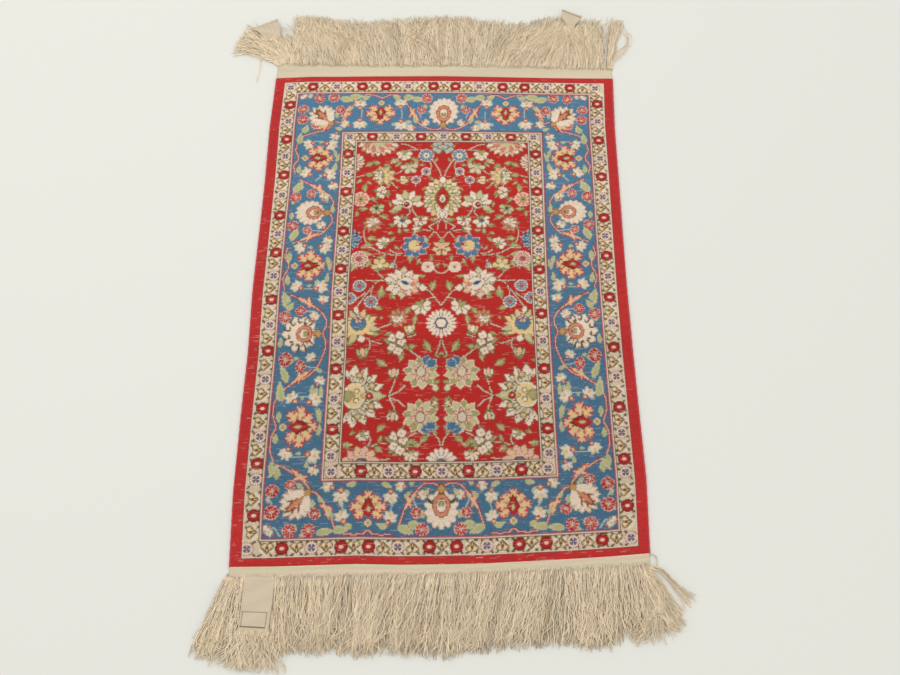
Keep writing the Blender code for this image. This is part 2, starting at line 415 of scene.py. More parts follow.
# %% Spiked palmette
def oak_petal(i, j, length, width, dye, turn, tall, grow=0.0):
    """A petal with a narrow foot and two pairs of lobes, like an oak leaf."""
    leaf(i, j, length + grow, width * 0.44 + 2 * grow, dye, turn, belly=0.66, tall=tall)
    for share, size, swing in ((0.46, 0.40, 48), (0.70, 0.32, 40)):
        foot_i, foot_j = beyond(i, j, length * share, turn, tall)
        for side in (1, -1):
            leaf(foot_i, foot_j, length * size + grow, width * 0.28 + 2 * grow, dye, turn + side * swing,
                 belly=0.5, tall=tall)


def spiked_palmette(i, j, turn, tall=1.0, size=1.0):
    """Seven oak petals about a red diamond. The turn is where its tip points."""
    petals = ((0, 19.5, 8), (42, 17.5, 8.5), (86, 20, 9), (128, 18, 8.5))
    for dye, grow in (("red", 0.9), ("peach", 0.0)):
        patch(i, j, (8.6 + grow) * size, dye, 8, 0.2, turn=turn, tall=tall)
        for swing, length, width in petals:
            for side in (1, -1):
                oak_petal(i, j, length * size, width * size, dye, turn + side * swing, tall, grow)
    for swing, length in ((0, 15), (42, 14), (86, 16), (128, 14)):
        for side in (1, -1):
            leaf(i, j, length * size, 4.2, "yellow", turn + side * swing, side * 0.1, belly=0.75, tall=tall)
    for swing in (20, 62, 106, -20, -62, -106):
        foot_i, foot_j = beyond(i, j, 6.5 * size, turn + swing, tall)
        dye = "olive" if abs(swing) < 30 else "salmon"
        leaf(foot_i, foot_j, 6 * size, 1.7, dye, turn + swing, 0.2, tall=tall)
    foot_i, foot_j = beyond(i, j, -12 * size, turn, tall)
    for wide, long, dye in ((15.5, 26, "maroon"), (13.0, 25, "crimson"), (10.5, 23, "red")):
        block, x, y = around(foot_i, foot_j, long * size + 2, turn, tall)
        share = np.clip(y / (long * size), 0, 1)
        diamond = np.minimum(share / 0.42, (1 - share) / 0.58) * wide * size / 2
        block[(np.abs(x) < diamond) & (y > 0)] = NUMBER[dye]
    leaf(*beyond(foot_i, foot_j, 6.0 * size, turn, tall), 10.5 * size, 4.6, "olive", turn, tall=tall)
    leaf(*beyond(foot_i, foot_j, 6.8 * size, turn, tall), 8.5 * size, 2.8, "sage", turn, tall=tall)
    bud_i, bud_j = beyond(i, j, -16.5 * size, turn, tall)
    rings(bud_i, bud_j, ((3.8, "peach"), (2.9, "yellow")), 4, 0.25, turn=turn, tall=tall)
    patch(bud_i, bud_j, 1.9, "leaf", tall=tall)


print("spiked palmette ready")

# %% Round palmette
def round_palmette(i, j, turn, radius=17.0, tall=1.0, flecks=(), teeth=15, eye_tall=1.0, egg=0.0):
    """A pale palmette with an eye of rings. The turn is where it points away from its stem."""
    heart_i, heart_j = beyond(i, j, 1.5, turn, tall)
    depth = 0.2 if flecks else 0.16
    rings(heart_i, heart_j, ((radius + 1.3, "sand"), (radius + 0.5, "ivory")),
          teeth, depth, 0.8, turn, tall, egg=egg)
    for n in range(teeth):
        swing = turn + 360 / teeth * (n + 0.5)
        leaf(*beyond(heart_i, heart_j, 9.5, swing, tall), 5.5, 1.3, "pink" if n % 2 else "ecru", swing + 14,
             0.2, tall=tall)
    for swing in flecks:
        foot_i, foot_j = beyond(heart_i, heart_j, 10.2, turn + swing, tall)
        leaf(foot_i, foot_j, 8.5, 2.6, "bark", turn + swing + 22, 0.45, 2, tall=tall)
        leaf(foot_i, foot_j, 4.5, 2.2, "olive", turn + swing - 44, 0.2, tall=tall)
    eye_i, eye_j = beyond(i, j, -2.8, turn, tall)
    for ring, dye in ((9.0, "brown"), (8.0, "salmon"), (5.4, "brown"), (4.5, "ivory")):
        patch(eye_i, eye_j, ring, dye, 9 if ring > 6 else 0, 0.05, turn=turn, tall=tall * eye_tall)
    rings(*beyond(eye_i, eye_j, -1.4, turn, tall), ((3.0, "olive"), (2.2, "leaf" if flecks else "ochre")),
          tall=tall)
    patch(*beyond(eye_i, eye_j, 1.6, turn, tall), 1.3, "ivory", tall=tall)
    link_i, link_j = beyond(eye_i, eye_j, -8.0 * eye_tall, turn, tall)
    leaf(link_i, link_j, 4.5, 4, "salmon", turn + 180, tall=tall, edge="brown")
    rings(*beyond(i, j, -17.5, turn, tall), ((4.2, "brown"), (3.3, "ochre")),
          4, 0.25, turn=turn, tall=tall * 1.1)


print("round palmette ready")

# %% Fan
def fan(i, j, turn):
    """A corner palmette: an open fan of ivory petals, with a barbed salmon heart on it."""
    for dye, grow in (("sand", 0.9), ("ivory", 0.0)):
        for n in range(-4, 5):
            leaf(i, j, 19.5 - abs(n) + grow, 7 + 2 * grow, dye, turn + 27 * n, 0.05 * n, 2, None, 0.62)
        patch(i, j, 12, dye)
    for n in range(-3, 4):
        dye = "peach" if n % 2 else "ecru"
        leaf(*beyond(i, j, 9, turn + 27 * n), 8, 1.6, dye, turn + 30 * n)
    foot_i, foot_j = beyond(i, j, -9, turn)
    for n in (-2, -1, 1, 2):
        barb_i, barb_j = beyond(foot_i, foot_j, 17 - 4 * abs(n), turn)
        leaf(barb_i, barb_j, 11.5, 2.6, "brown", turn + 32 * n, 0.15 * n)
    leaf(foot_i, foot_j, 26, 9, "brown", turn, 0.05, 4, belly=0.5)
    leaf(foot_i, foot_j, 21, 6.0, "salmon", turn, 0.05, 4, belly=0.5)
    leaf(foot_i, foot_j, 12, 1.8, "ochre", turn)
    bud_i, bud_j = beyond(i, j, -13, turn)
    rings(bud_i, bud_j, ((4.4, "brown"), (3.4, "ochre")), 4, 0.25, turn=turn)


print("fan ready")

# %% Bell and thorn
def bell(i, j, turn, size=1.0):
    """A small skirt of ecru and ivory petals, under a peach heart with a brown and rose edge."""
    for swing, length in ((80, 7), (-80, 7), (40, 8.5), (-40, 8.5), (0, 8)):
        leaf(i, j, length * size, 4.4 * size, "mist" if abs(swing) > 60 else "ecru", turn + swing, belly=0.5)
        leaf(i, j, length * 0.8 * size, 2.4 * size, "ivory", turn + swing, belly=0.5)
    leaf(*beyond(i, j, 2, turn + 25), 5 * size, 1.8, "yellow", turn + 25)
    patch(i, j, 2.6 * size, "ivory")
    leaf(*beyond(i, j, 1.5, turn), 4.5 * size, 1.4, "sand", turn)
    heart_i, heart_j = beyond(i, j, -3.0 * size, turn)
    rings(heart_i, heart_j, ((2.9 * size, "rose"), (2.2 * size, "brown"), (1.5 * size, "peach")),
          4, 0.2, turn=turn)


def thorn(i, j, length, turn, side):
    """A barbed branch that lies along the vine."""
    for dye, grow in (("red", 1.0), ("peach", 0.0)):
        leaf(i, j, length + grow, 4.4 + 2 * grow, dye, turn, 0.04 * side, 3, belly=0.55)
        foot_i, foot_j = beyond(i, j, length * 0.42, turn)
        leaf(foot_i, foot_j, 8 + grow, 3.2 + 2 * grow, dye, turn + side * 48, belly=0.4)
        leaf(foot_i, foot_j, 6 + grow, 2.4 + 2 * grow, dye, turn - side * 130, belly=0.4)
    leaf(*beyond(i, j, length * 0.45, turn), length * 0.3, 1.6, "sage", turn)


print("bell and thorn ready")

# %% [markdown]
# ## The left half of the blue border
#
# A weaver reads the chart from the left side to the middle, and then the same rows back
# again, so only the left half is charted. A single pink vine runs round the whole border.
# It swings to the outer line beside each spiked palmette and to the inner line beside each
# round one, and dips to a point where a flower's stem leaves it.

# %% The border's ground and vine
MIDDLE = ACROSS // 2
# columns where the bands change, on the left side and on the right one
EDGING_LINE = 11
OUTER_LINE = 29
FIELD_LINE = 101
RIGHT_FIELD_LINE = 298
RIGHT_OUTER_LINE = 370
RIGHT_EDGING_LINE = 389
BLUE_ROWS = slice(26, 560)
chart[BLUE_ROWS, OUTER_LINE:MIDDLE] = NUMBER["blue"]

VINE = (
    ((200, 73), (196, 77), (190, 79), (182, 77), (173, 68), (166, 57), (162, 45), (159, 36)),
    ((152, 29), (143, 28), (134, 29), (129.6, 32), (125, 29), (116, 28), (107, 29)),
    ((98, 34), (93, 48), (86, 61), (80, 69), (74, 72), (70, 78), (61, 86), (50, 94), (40, 99)),
    ((36, 103), (32, 113), (32, 128), (35.5, 138), (32, 150), (32, 164), (36, 173)),
    ((39, 178), (50, 186), (62, 192), (71, 201), (77, 215), (80, 230), (76.5, 241), (80, 252),
     (77, 262), (70, 270), (58, 279), (40, 288)),
    ((34, 294), (31, 308), (36, 323), (31, 334), (33, 346)),
    ((38, 352), (52, 357), (66, 362), (75, 372), (79, 382), (75.5, 391), (79, 400), (76, 410),
     (68, 418), (54, 427), (38, 436)),
    ((33, 444), (31, 455), (36, 465), (32, 476), (34, 488)),
    ((39, 496), (52, 501), (65, 505), (72, 514), (75, 517), (82, 515), (88, 524), (93, 538), (97, 550)),
    ((106, 556), (114, 556), (121, 554), (127, 551), (133, 554), (141, 556), (149, 553)),
    ((154, 549), (160, 535), (167, 520), (176, 510), (186, 505), (194, 505), (200, 509)),
)
for run in VINE:
    line(run, "pink", 1.2, "crimson")
THORNS = (
    # foot i, foot j, length, turn, side
    (72, 79, 24, 52, 1), (85, 64, 22, 202, 1), (74, 515, 26, 115, 1), (82, 516, 26, -20, -1),
    (46, 184, 26, -50, 1), (70, 270, 27, 55, -1), (45, 355, 24, -65, 1), (72, 415, 28, 55, -1),
    (163, 50, 27, -30, 1), (158, 540, 27, -152, -1),
)
for thorn_numbers in THORNS:
    thorn(*thorn_numbers)
print("vine laid through", len(VINE), "runs")

# %% The border's leaves and blossoms
BORDER_LEAVES = (
    # foot i, foot j, length, width, turn, bend
    (40, 99, 15, 6, 160, 0.2), (40, 84, 15, 6, -5, -0.2), (68, 69, 8, 4, 60, 0.1), (88, 70, 8, 4, -40, 0.0),
    (76, 55, 8, 5, 0, 0.0), (80, 30, 17, 7, -78, 0.1), (96, 32, 15, 8, -80, 0.1), (62, 37, 7, 4, 120, 0.0),
    (114, 34, 9, 5, 60, 0.1), (141, 34, 9, 5, -60, 0.1), (158, 36, 16, 8, -110, 0.1),
    (168, 37, 13, 9, -85, 0.1), (182, 44, 8, 4, 0, 0.0), (183, 66, 9, 4, -30, 0.1),
    (118, 79, 11, 5, 110, 0.1), (142, 79, 11, 5, -110, 0.1), (170, 76, 9, 4, -20, 0.1),
    (104, 55, 9, 4, 10, 0.1), (152, 57, 9, 4, -20, 0.1), (72, 28, 8, 5, 90, 0.1),
    (35, 103, 14, 5, 165, -0.2), (37, 121, 10, 5, 20, 0.2), (77, 128, 12, 4, -20, -0.2),
    (76, 158, 13, 4, 200, 0.2), (38, 155, 12, 5, 170, -0.2), (40, 165, 22, 8, 25, 0.25),
    (42, 186, 20, 7, 10, -0.2), (72, 180, 9, 4, 190, 0.0), (78, 198, 9, 4, 75, 0.1),
    (48, 210, 7, 5, 100, 0.1), (33, 226, 11, 5, 10, 0.2), (35, 252, 9, 5, -10, 0.2),
    (38, 268, 12, 6, -20, 0.2), (37, 276, 15, 8, 5, -0.2), (62, 256, 9, 5, -55, 0.1),
    (36, 288, 15, 6, 165, -0.2), (37, 300, 12, 5, 20, 0.2), (77, 302, 11, 4, -15, -0.2),
    (76, 334, 12, 4, 200, 0.2), (36, 340, 12, 6, 165, -0.2), (37, 354, 13, 6, 10, 0.2),
    (37, 358, 12, 8, -10, 0.2), (77, 353, 9, 4, 30, 0.1), (72, 375, 9, 4, 130, 0.1),
    (34, 383, 9, 5, 10, 0.1), (34, 402, 9, 4, 0, 0.1), (37, 420, 13, 9, -10, 0.2), (72, 405, 9, 4, 40, 0.1),
    (36, 428, 14, 6, 170, -0.2), (37, 444, 11, 5, 10, 0.2), (76, 446, 12, 5, -20, -0.2),
    (76, 476, 11, 4, 200, 0.2), (37, 485, 15, 7, 15, 0.2), (40, 500, 12, 7, -5, 0.2),
    (62, 512, 7, 4, 100, 0.0), (84, 505, 9, 4, 80, 0.1), (76, 522, 9, 4, 0, 0.1),
    (78, 551, 15, 8, -100, 0.1), (88, 552, 17, 8, -80, 0.1), (104, 549, 10, 5, -60, 0.1),
    (148, 549, 10, 5, 60, 0.1), (152, 552, 13, 8, -90, 0.1), (163, 549, 12, 8, -90, 0.1),
    (178, 541, 8, 4, 180, 0.0), (112, 511, 10, 4, 70, 0.1), (140, 511, 10, 4, -70, 0.1),
    (155, 515, 9, 4, -80, 0.1), (182, 512, 9, 4, 30, 0.1), (47, 213, 6, 4, -90, 0.0),
    (69, 173, 10, 4, 5, 0.1), (79, 169, 13, 4, 12, 0.1), (57, 168, 5, 3, -80, 0.0),
    (79, 142, 15, 4, 14, -0.1), (62, 110, 5, 3, 90, 0.0), (69, 95, 7, 4, 10, 0.0),
    (60, 80, 11, 4, -130, 0.1), (62, 298, 6, 3, 90, 0.0), (79, 316, 14, 4, -12, 0.1),
    (68, 306, 9, 4, 170, 0.1), (60, 346, 6, 3, 90, 0.0), (47, 396, 7, 4, 60, 0.0),
    (79, 390, 12, 4, 10, 0.1), (60, 441, 5, 3, -90, 0.0), (79, 459, 14, 4, -10, 0.1),
    (69, 452, 9, 4, 170, 0.1), (58, 487, 5, 3, -90, 0.0), (112, 68, 10, 4, 70, 0.1),
    (146, 36, 9, 4, 80, 0.1), (96, 44, 10, 4, 30, 0.1), (164, 64, 9, 4, -40, 0.1),
    (166, 522, 9, 4, 200, 0.1), (94, 540, 9, 4, 150, 0.1), (32, 45, 8, 4, 20, 0.1), (60, 33, 6, 3, 0, 0.0),
    (34, 60, 7, 4, 10, 0.0), (84, 60, 7, 4, 20, 0.0),
)
for i, j, length, width, turn, bend in BORDER_LEAVES:
    for dye, longer, wider in (("sage", 1.08, 1.1), ("moss", 0.85, 0.6)):
        leaf(i, j, length * longer, width * wider, dye, turn, bend, belly=0.38)

PALE_STEMS = (
    ((56, 433), (64, 441), (70, 441)), ((50, 294), (60, 294), (70, 294)), ((56, 170), (64, 170), (68, 170)),
    ((50, 106), (60, 106), (68, 106)), ((46, 488), (60, 488), (70, 487)), ((103, 70), (104, 60), (106, 48)),
    ((152, 70), (153, 60), (150, 48)), ((104, 545), (105, 530), (104, 520)),
    ((150, 545), (151, 530), (152, 520)), ((58, 204), (64, 203), (72, 203)),
    ((58, 268), (66, 267), (72, 262)), ((55, 368), (64, 367), (70, 366)), ((58, 417), (64, 417), (70, 414)),
    ((176, 55), (173, 63), (174, 68)), ((174, 539), (172, 530), (174, 521)), ((37, 60), (33, 66), (37, 72)),
    ((46, 28), (40, 36), (32, 32)),
)
for run in PALE_STEMS:
    line(run, "mist", 0.8)

BELLS = (
    # middle i, middle j, turn, size
    (48, 112, 150, 1.0), (72, 108, -110, 1.1), (50, 168, 40, 1.0), (70, 166, -60, 1.1), (66, 213, 40, 0.8),
    (75, 186, -30, 0.8), (76, 94, 160, 0.8), (92, 76, 60, 0.9), (48, 297, 60, 1.0), (70, 296, -70, 1.1),
    (66, 260, -30, 0.8), (75, 280, -10, 0.8), (48, 347, 120, 1.0), (71, 346, -120, 1.0),
    (76, 356, 160, 0.8), (68, 373, 40, 0.8), (67, 411, -20, 0.8), (47, 444, 60, 1.0), (70, 442, -80, 1.1),
    (76, 428, -160, 0.8), (48, 485, 110, 1.0), (70, 484, -110, 1.1), (76, 497, 160, 0.8),
    (103, 68, 180, 1.1), (105, 44, 20, 1.0), (151, 67, 180, 1.0), (150, 43, -20, 1.0), (162, 76, 80, 0.8),
    (180, 66, -60, 0.7), (102, 540, 0, 1.0), (103, 515, 180, 1.1), (149, 541, 0, 1.0), (151, 513, 180, 1.1),
    (164, 507, 100, 0.8), (178, 515, -120, 0.7), (88, 512, 60, 0.8), (34, 36, 130, 0.6), (38, 31, 70, 0.5),
    (36, 553, 40, 0.6), (44, 555, 90, 0.5),
)
BELL_SIZE = 1.12
for i, j, turn, size in BELLS:
    bell(i, j, turn, size * BELL_SIZE)
print(len(BORDER_LEAVES), "leaves and", len(BELLS), "bells")

# %% The border's great flowers
WHEELS = (
    # middle i, middle j, radius, stretch
    (37, 72.5, 6.2, 1.0), (37, 51.4, 7, 1.0), (54, 78, 5, 1.0), (78.5, 49, 5.3, 1.0), (54.6, 33, 6.5, 1.0),
    (73, 33, 6.3, 1.0), (54, 551, 6, 1.05), (70.4, 552, 6, 1.05), (79, 534, 5, 1.1), (36.5, 535, 6, 1.0),
    (37.3, 520, 6.3, 1.0), (52.7, 512, 5, 1.0), (36, 412, 6, 1.05), (53, 416, 4.8, 1.1), (36, 374, 6, 1.0),
    (52, 368, 4.8, 1.0), (36, 261, 6, 1.15), (52, 268, 5.3, 1.0), (39, 212, 6.4, 1.25), (55, 204, 5, 1.25),
    (181.5, 33, 6.2, 1.0), (175.8, 49.4, 5, 1.0), (179.6, 550, 6, 1.1), (174, 533, 5, 1.0),
)
for wheel_numbers in WHEELS:
    wheel(*wheel_numbers)
SPIKED = (
    # middle i, middle j, turn, stretch, size
    (58, 465, -90, 1.0, 0.9), (57, 323, -90, 1.05, 0.92), (58, 138, -90, 1.18, 0.95),
    (129.5, 54, 0, 1.0, 0.9), (126.5, 529, 180, 1.0, 0.88),
)
for palmette in SPIKED:
    spiked_palmette(*palmette)
TEN_FLECKS = (18, -18, 52, -52, 84, -84, 112, -112, 142, -142)
round_palmette(55, 391, 90, 15.5, 1.0)
round_palmette(54, 241, 90, 17.5, 1.15, TEN_FLECKS, 10)
round_palmette(200, 53, 180, 16.5, 1.15, (128, -128), 13, 1.2, -0.06)
round_palmette(200, 531, 0, 17, 1.15, (), 15, 1.2, -0.1)
fan(62, 61, 135)
fan(61, 523, 45)
print("border flowers worked")

# %% [markdown]
# ## Flowers of the red field
#
# The field is a garden, mirrored about its middle: stems rise from the near end, part, and carry
# a palmette, a daisy or a rosette at each end. These helpers are the kinds that come back
# several times. The few that come once are worked straight into the field further down.

# %% Petals and leaves of the field
def serrated(i, j, turn, length, width, dye, edge="olive", petals=9, spread=300, belly=0.62):
    """Pointed petals spread about a middle, each with a dark edge and, if long, two small side lobes."""
    for n in range(petals):
        swing = turn + spread * (n / (petals - 1) - 0.5)
        if length > 12:
            for side in (1, -1):
                foot_i, foot_j = beyond(i, j, length * 0.5, swing + side * 6)
                side_turn = swing + side * 34
                leaf(foot_i, foot_j, length * 0.36, width * 0.5, dye, side_turn, 0, 0, edge, 0.5)
        leaf(i, j, length, width, dye, swing, 0.0, 2, edge, belly)


def turns(first, step, count):
    """The turns of a run of petals, in degrees."""
    return [first + step * n for n in range(count)]


def crown(i, j, lengths, width, dyes, swings, bend=0.0, teeth=0, edge="olive", belly=0.66):
    """Petals from one foot, a turn for each. Their lengths and dyes come round in order."""
    for n, swing in enumerate(swings):
        leaf(i, j, lengths[n % len(lengths)], width, dyes[n % len(dyes)], swing, bend, teeth, edge, belly)


def sprig(i, j, length, width, turn, bend):
    """A field leaf: a slim blade with pairs of side lobes, edged, and lit along its middle."""
    lobes = ((0.20, 0.44, 34), (0.46, 0.34, 32)) if length > 8 else ((0.35, 0.45, 38),)
    for dye, grow in (("olive", 1.1), ("leaf", 0.0)):
        for share, size, swing in lobes:
            middle_i, middle_j = beyond(i, j, length * share, turn - 57 * bend * share * share)
            for side in (1, -1):
                lobe = (length * size + grow * 0.5, width * 0.36 + grow)
                leaf(middle_i, middle_j, *lobe, dye, turn + side * swing)
        leaf(i, j, length + grow * 0.5, width * 0.5 + grow, dye, turn, bend, belly=0.45)
    leaf(i, j, length * 0.75, width * 0.24, "sage", turn, bend, belly=0.4)


print("petals and leaves ready")

# %% Round flowers of the field
def daisy(i, j, radius, petals):
    """A white daisy with many narrow petals and a dark ring."""
    for n in range(petals):
        leaf(i, j, radius - n % 2, radius * 0.27, "ivory", 360 / petals * n, belly=0.66)
    spokes(i, j, radius * 0.46, radius * 0.76, petals, "olive", 0.7, 180 / petals)
    patch(i, j, radius * 0.43, "slate", 8, 0.06)
    patch(i, j, radius * 0.28, "ivory")


def ring_flower(i, j, radius, ground, petal, heart, count=12):
    """A round rosette: a rim, a ring of petals, and a heart."""
    rings(i, j, ((radius + 0.5, "ivory"), (radius - 0.5, ground)), count, 0.06)
    spokes(i, j, radius * 0.42, radius - 0.5, count, petal, 1.0)
    rings(i, j, ((radius * 0.42, heart), (radius * 0.18, "brown")))


print("daisy and ring flower ready")

# %% Small flowers of the field
def tulip(i, j, turn, dye="ivory", heart="peach", size=1.0):
    """A bud with two outer petals and a cup of leaves."""
    crown(i, j, (5 * size,), 3 * size, ("leaf",), (turn + 60, turn - 60), belly=0.45)
    crown(i, j, (11 * size,), 5 * size, (dye, dye, heart), (turn + 25.6, turn - 25.6, turn), belly=0.6)


def posy(i, j, size=1.0, dye="ivory"):
    """A cluster of five small blossoms with salmon hearts, on three toothed leaves."""
    for swing in (75, 150, 255):
        leaf(i, j, 12 * size, 5.5 * size, "leaf", swing, 0.1, 2, "olive")
    for right_step, up_step in ((-3.2, 5), (4.2, 1.5), (-3.4, -3.5), (1.6, -7), (2.8, 7.4)):
        patch(i + right_step * size, j + up_step * size, 4.7 * size, "olive", 4, 0.24, turn=20)
        patch(i + right_step * size, j + up_step * size, 3.9 * size, dye, 4, 0.28, turn=20)
        patch(i + right_step * size, j + up_step * size, 0.8 * size, "salmon")


def blossom(i, j, turn, dye="ivory", heart="salmon", size=1.0, petals=5):
    """A side view of a blossom: petals in a half round, and a leafy foot."""
    crown(i, j, (6 * size,), 4 * size, ("leaf",), (turn + 150, turn - 150), belly=0.45)
    swings = [turn + 190 * (n / (petals - 1) - 0.5) for n in range(petals)]
    crown(i, j, (8.5 * size,), 5 * size, (dye,), swings)
    patch(i, j, 2.2 * size, heart)


print("tulip, posy and blossom ready")

# %% [markdown]
# ## The left half of the red field
#
# Stems first, then leaves, then flowers. The places are counted in knots from the rug's
# near left corner.

# %% Field ground and stems
FIELD_ROWS = slice(100, 487)
chart[FIELD_ROWS, FIELD_LINE:MIDDLE] = NUMBER["red"]

STEMS = (
    ((199, 435), (196, 446), (190, 458), (185, 465)), ((184, 462), (187, 452), (182, 446)),
    ((181, 446), (176, 440), (170, 434)), ((169, 430), (170, 425)), ((172, 460), (168, 452), (163, 447)),
    ((160, 453), (150, 444), (140, 441)), ((145, 460), (150, 464), (156, 470)),
    ((156, 474), (170, 476), (178, 474)), ((152, 484), (160, 482), (172, 475)),
    ((139, 434), (144, 428), (150, 422)), ((130, 430), (131, 424), (130, 418)),
    ((113, 441), (106, 439), (101, 439)), ((113, 408), (122, 407), (128, 402)),
    ((163, 397), (164, 390), (160, 386)), ((166, 396), (170, 388), (174, 384)),
    ((200, 386), (197, 380), (186, 372)), ((200, 384), (196, 376), (196, 368)),
    ((185, 372), (192, 366), (199, 356)), ((200, 384), (192, 382), (188, 381)),
    ((186, 357), (190, 363), (192, 366)), ((173, 368), (183, 367), (188, 367)),
    ((115, 368), (115, 358), (120, 348), (130, 340), (144, 336), (156, 336)),
    ((143, 342), (150, 338), (158, 337)), ((112, 345), (124, 344), (134, 338)),
    ((124, 335), (132, 332), (140, 336)), ((150, 336), (150, 330), (147, 324)),
    ((176, 330), (178, 325), (182, 322)), ((192, 318), (197, 313), (200, 312)),
    ((112, 340), (106, 336), (104, 332)), ((119, 304), (128, 303), (140, 305)),
    ((120, 330), (128, 318), (138, 306)), ((140, 304), (132, 302), (124, 292), (116, 280), (111, 272)),
    ((108, 280), (114, 284), (120, 290)), ((125, 284), (126, 292), (128, 298)),
    ((200, 273), (194, 282), (188, 290), (181, 295)), ((194, 282), (188, 282), (183, 279)),
    ((113, 318), (120, 326), (114, 331)), ((127, 243), (136, 247), (148, 252)),
    ((119, 236), (128, 231), (138, 228)), ((124, 234), (126, 228), (124, 221)),
    ((164, 236), (170, 238), (174, 240)), ((166, 222), (172, 217), (178, 212)),
    ((199, 232), (197, 224), (194, 216)), ((146, 170), (156, 175), (164, 182)),
    ((147, 172), (151, 182), (153, 190)), ((146, 169), (156, 165), (164, 158)),
    ((147, 168), (152, 158), (153, 152)), ((199, 117), (197, 124), (192, 131)),
    ((160, 121), (168, 127), (176, 131)), ((130, 116), (138, 119), (146, 120)),
    ((127, 116), (130, 122), (128, 128)), ((165, 116), (168, 112), (170, 108)),
    ((130, 104), (140, 102), (150, 104)),
)
for run in STEMS:
    line(run, "ecru", 1.0, "maroon", 0.5)
print(len(STEMS), "stems")

# %% Field leaves
FIELD_LEAVES = (
    # foot i, foot j, length, width, turn, bend
    (112, 452, 12, 6, -50, 0.2), (130, 457, 12, 5, 85, 0.1), (142, 450, 12, 5, 60, 0.1),
    (168, 456, 10, 5, -15, 0.1), (172, 454, 8, 4, -80, 0.1), (104, 452, 10, 5, 150, 0.1),
    (148, 478, 9, 4, 60, 0.1), (170, 462, 8, 4, 80, 0.1), (190, 432, 8, 4, 40, 0.1),
    (152, 432, 8, 4, 70, 0.1), (120, 428, 8, 4, 60, 0.1), (191, 458, 7, 3, -20, 0.1),
    (176, 420, 8, 4, -60, 0.1), (143, 398, 8, 4, 20, 0.1), (106, 384, 9, 4, 10, 0.1),
    (140, 362, 8, 4, -70, 0.1), (184, 438, 7, 4, -10, 0.1), (146, 452, 11, 5, -40, 0.1),
    (113, 417, 13, 6, 5, 0.15), (138, 423, 10, 5, -10, 0.1), (139, 410, 11, 5, 5, 0.1),
    (108, 436, 9, 5, 150, 0.1), (118, 408, 10, 5, -85, 0.1), (112, 400, 8, 5, 160, 0.0),
    (140, 392, 13, 6, -88, 0.1), (130, 386, 13, 6, -100, 0.3), (150, 374, 10, 4, 90, 0.1),
    (153, 370, 9, 4, 190, 0.1), (165, 367, 9, 4, 90, 0.1), (196, 381, 12, 4, 95, 0.1),
    (172, 398, 12, 5, 40, 0.1), (118, 395, 12, 5, 90, 0.1), (117, 356, 13, 7, -85, 0.2),
    (144, 352, 9, 4, -30, 0.1), (113, 346, 14, 5, -70, 0.2), (125, 335, 14, 5, 75, 0.2),
    (140, 333, 12, 5, 105, 0.2), (154, 342, 9, 4, 50, 0.1), (164, 338, 14, 6, 200, 0.2),
    (176, 331, 9, 5, 170, 0.2), (184, 350, 10, 7, 10, -0.1), (190, 327, 9, 4, 15, 0.1),
    (199, 325, 8, 4, 130, 0.2), (101, 333, 8, 4, 30, 0.0), (137, 297, 18, 8, 175, 0.1),
    (103, 315, 18, 9, -20, 0.2), (119, 320, 10, 5, -25, 0.1), (152, 280, 14, 6, 35, 0.2),
    (190, 290, 16, 7, -8, 0.15), (183, 309, 9, 5, 90, 0.1), (160, 262, 14, 5, -40, 0.0),
    (128, 271, 12, 6, -95, 0.1), (172, 251, 13, 6, 0, 0.1), (148, 243, 9, 4, 130, 0.1),
    (125, 238, 12, 5, -75, 0.1), (136, 257, 5, 3, -30, 0.0), (190, 219, 18, 7, 38, 0.15),
    (163, 222, 13, 6, -60, 0.15), (100, 228, 10, 10, -70, 0.0), (144, 203, 15, 8, 60, 0.1),
    (157, 208, 12, 6, -10, 0.2), (197, 216, 7, 3, -60, 0.0), (106, 209, 6, 4, 100, 0.0),
    (108, 128, 8, 5, -60, 0.1), (136, 131, 12, 7, -35, 0.2), (140, 128, 9, 4, 170, 0.1),
    (113, 118, 14, 6, 95, 0.15), (142, 110, 12, 6, 55, 0.1), (160, 128, 11, 5, 0, 0.2),
    (180, 118, 10, 5, 95, 0.1), (178, 119, 14, 6, -40, 0.15), (152, 107, 10, 4, -60, 0.1),
    (196, 130, 7, 3, 60, 0.0), (165, 121, 12, 5, -85, 0.1), (132, 106, 8, 4, 20, 0.0),
    (193, 197, 6, 3, 30, 0.0), (193, 144, 6, 3, -60, 0.0),
)
for i, j, length, width, turn, bend in FIELD_LEAVES:
    sprig(i, j, length, width, turn, bend)
print(len(FIELD_LEAVES), "leaves")

# %% Small field flowers
ring_flower(181, 467.5, 8.5, "blue", "mist", "ivory", 11)
for i, j in ((181, 445.5), (169.5, 434)):
    ring_flower(i, j, 5, "slate", "pink", "violet", 8)
ring_flower(108.5, 408, 9, "salmon", "ivory", "leaf", 9)
ring_flower(110.8, 330.5, 9, "rose", "ivory", "rose", 16)
ring_flower(185.4, 320.5, 6.5, "ivory", "ecru", "pink", 9)
for i, j, radius in ((112.7, 297, 6.8), (102.7, 282, 6.8), (125.5, 277.5, 6.8)):
    ring_flower(i, j, radius, "blue", "mist", "rose", 10)
blossom(156, 470, 180, "ivory", "leaf", 1.1)
blossom(145, 459, 20, "peach", "ivory", 0.55)
blossom(162, 452, 190, "ecru", "sage", 1.2, 4)
posy(194, 479, 0.8, "mist")
tulip(161, 434, 90, "ivory", "yellow", 0.9)
posy(131, 417, 0.75)
blossom(127, 396, 200, "sage", "navy", 1.0)
blossom(156, 380, 160, "ivory", "slate", 1.2)
blossom(176, 381, 185, "ivory", "rose", 1.0)
tulip(177, 369, 90, "peach", "ivory", 0.9)
serrated(123, 375, 0, 11, 4.5, "salmon", "olive", 9, 320)
blossom(124, 376, 30, "ivory", "pink", 0.9)
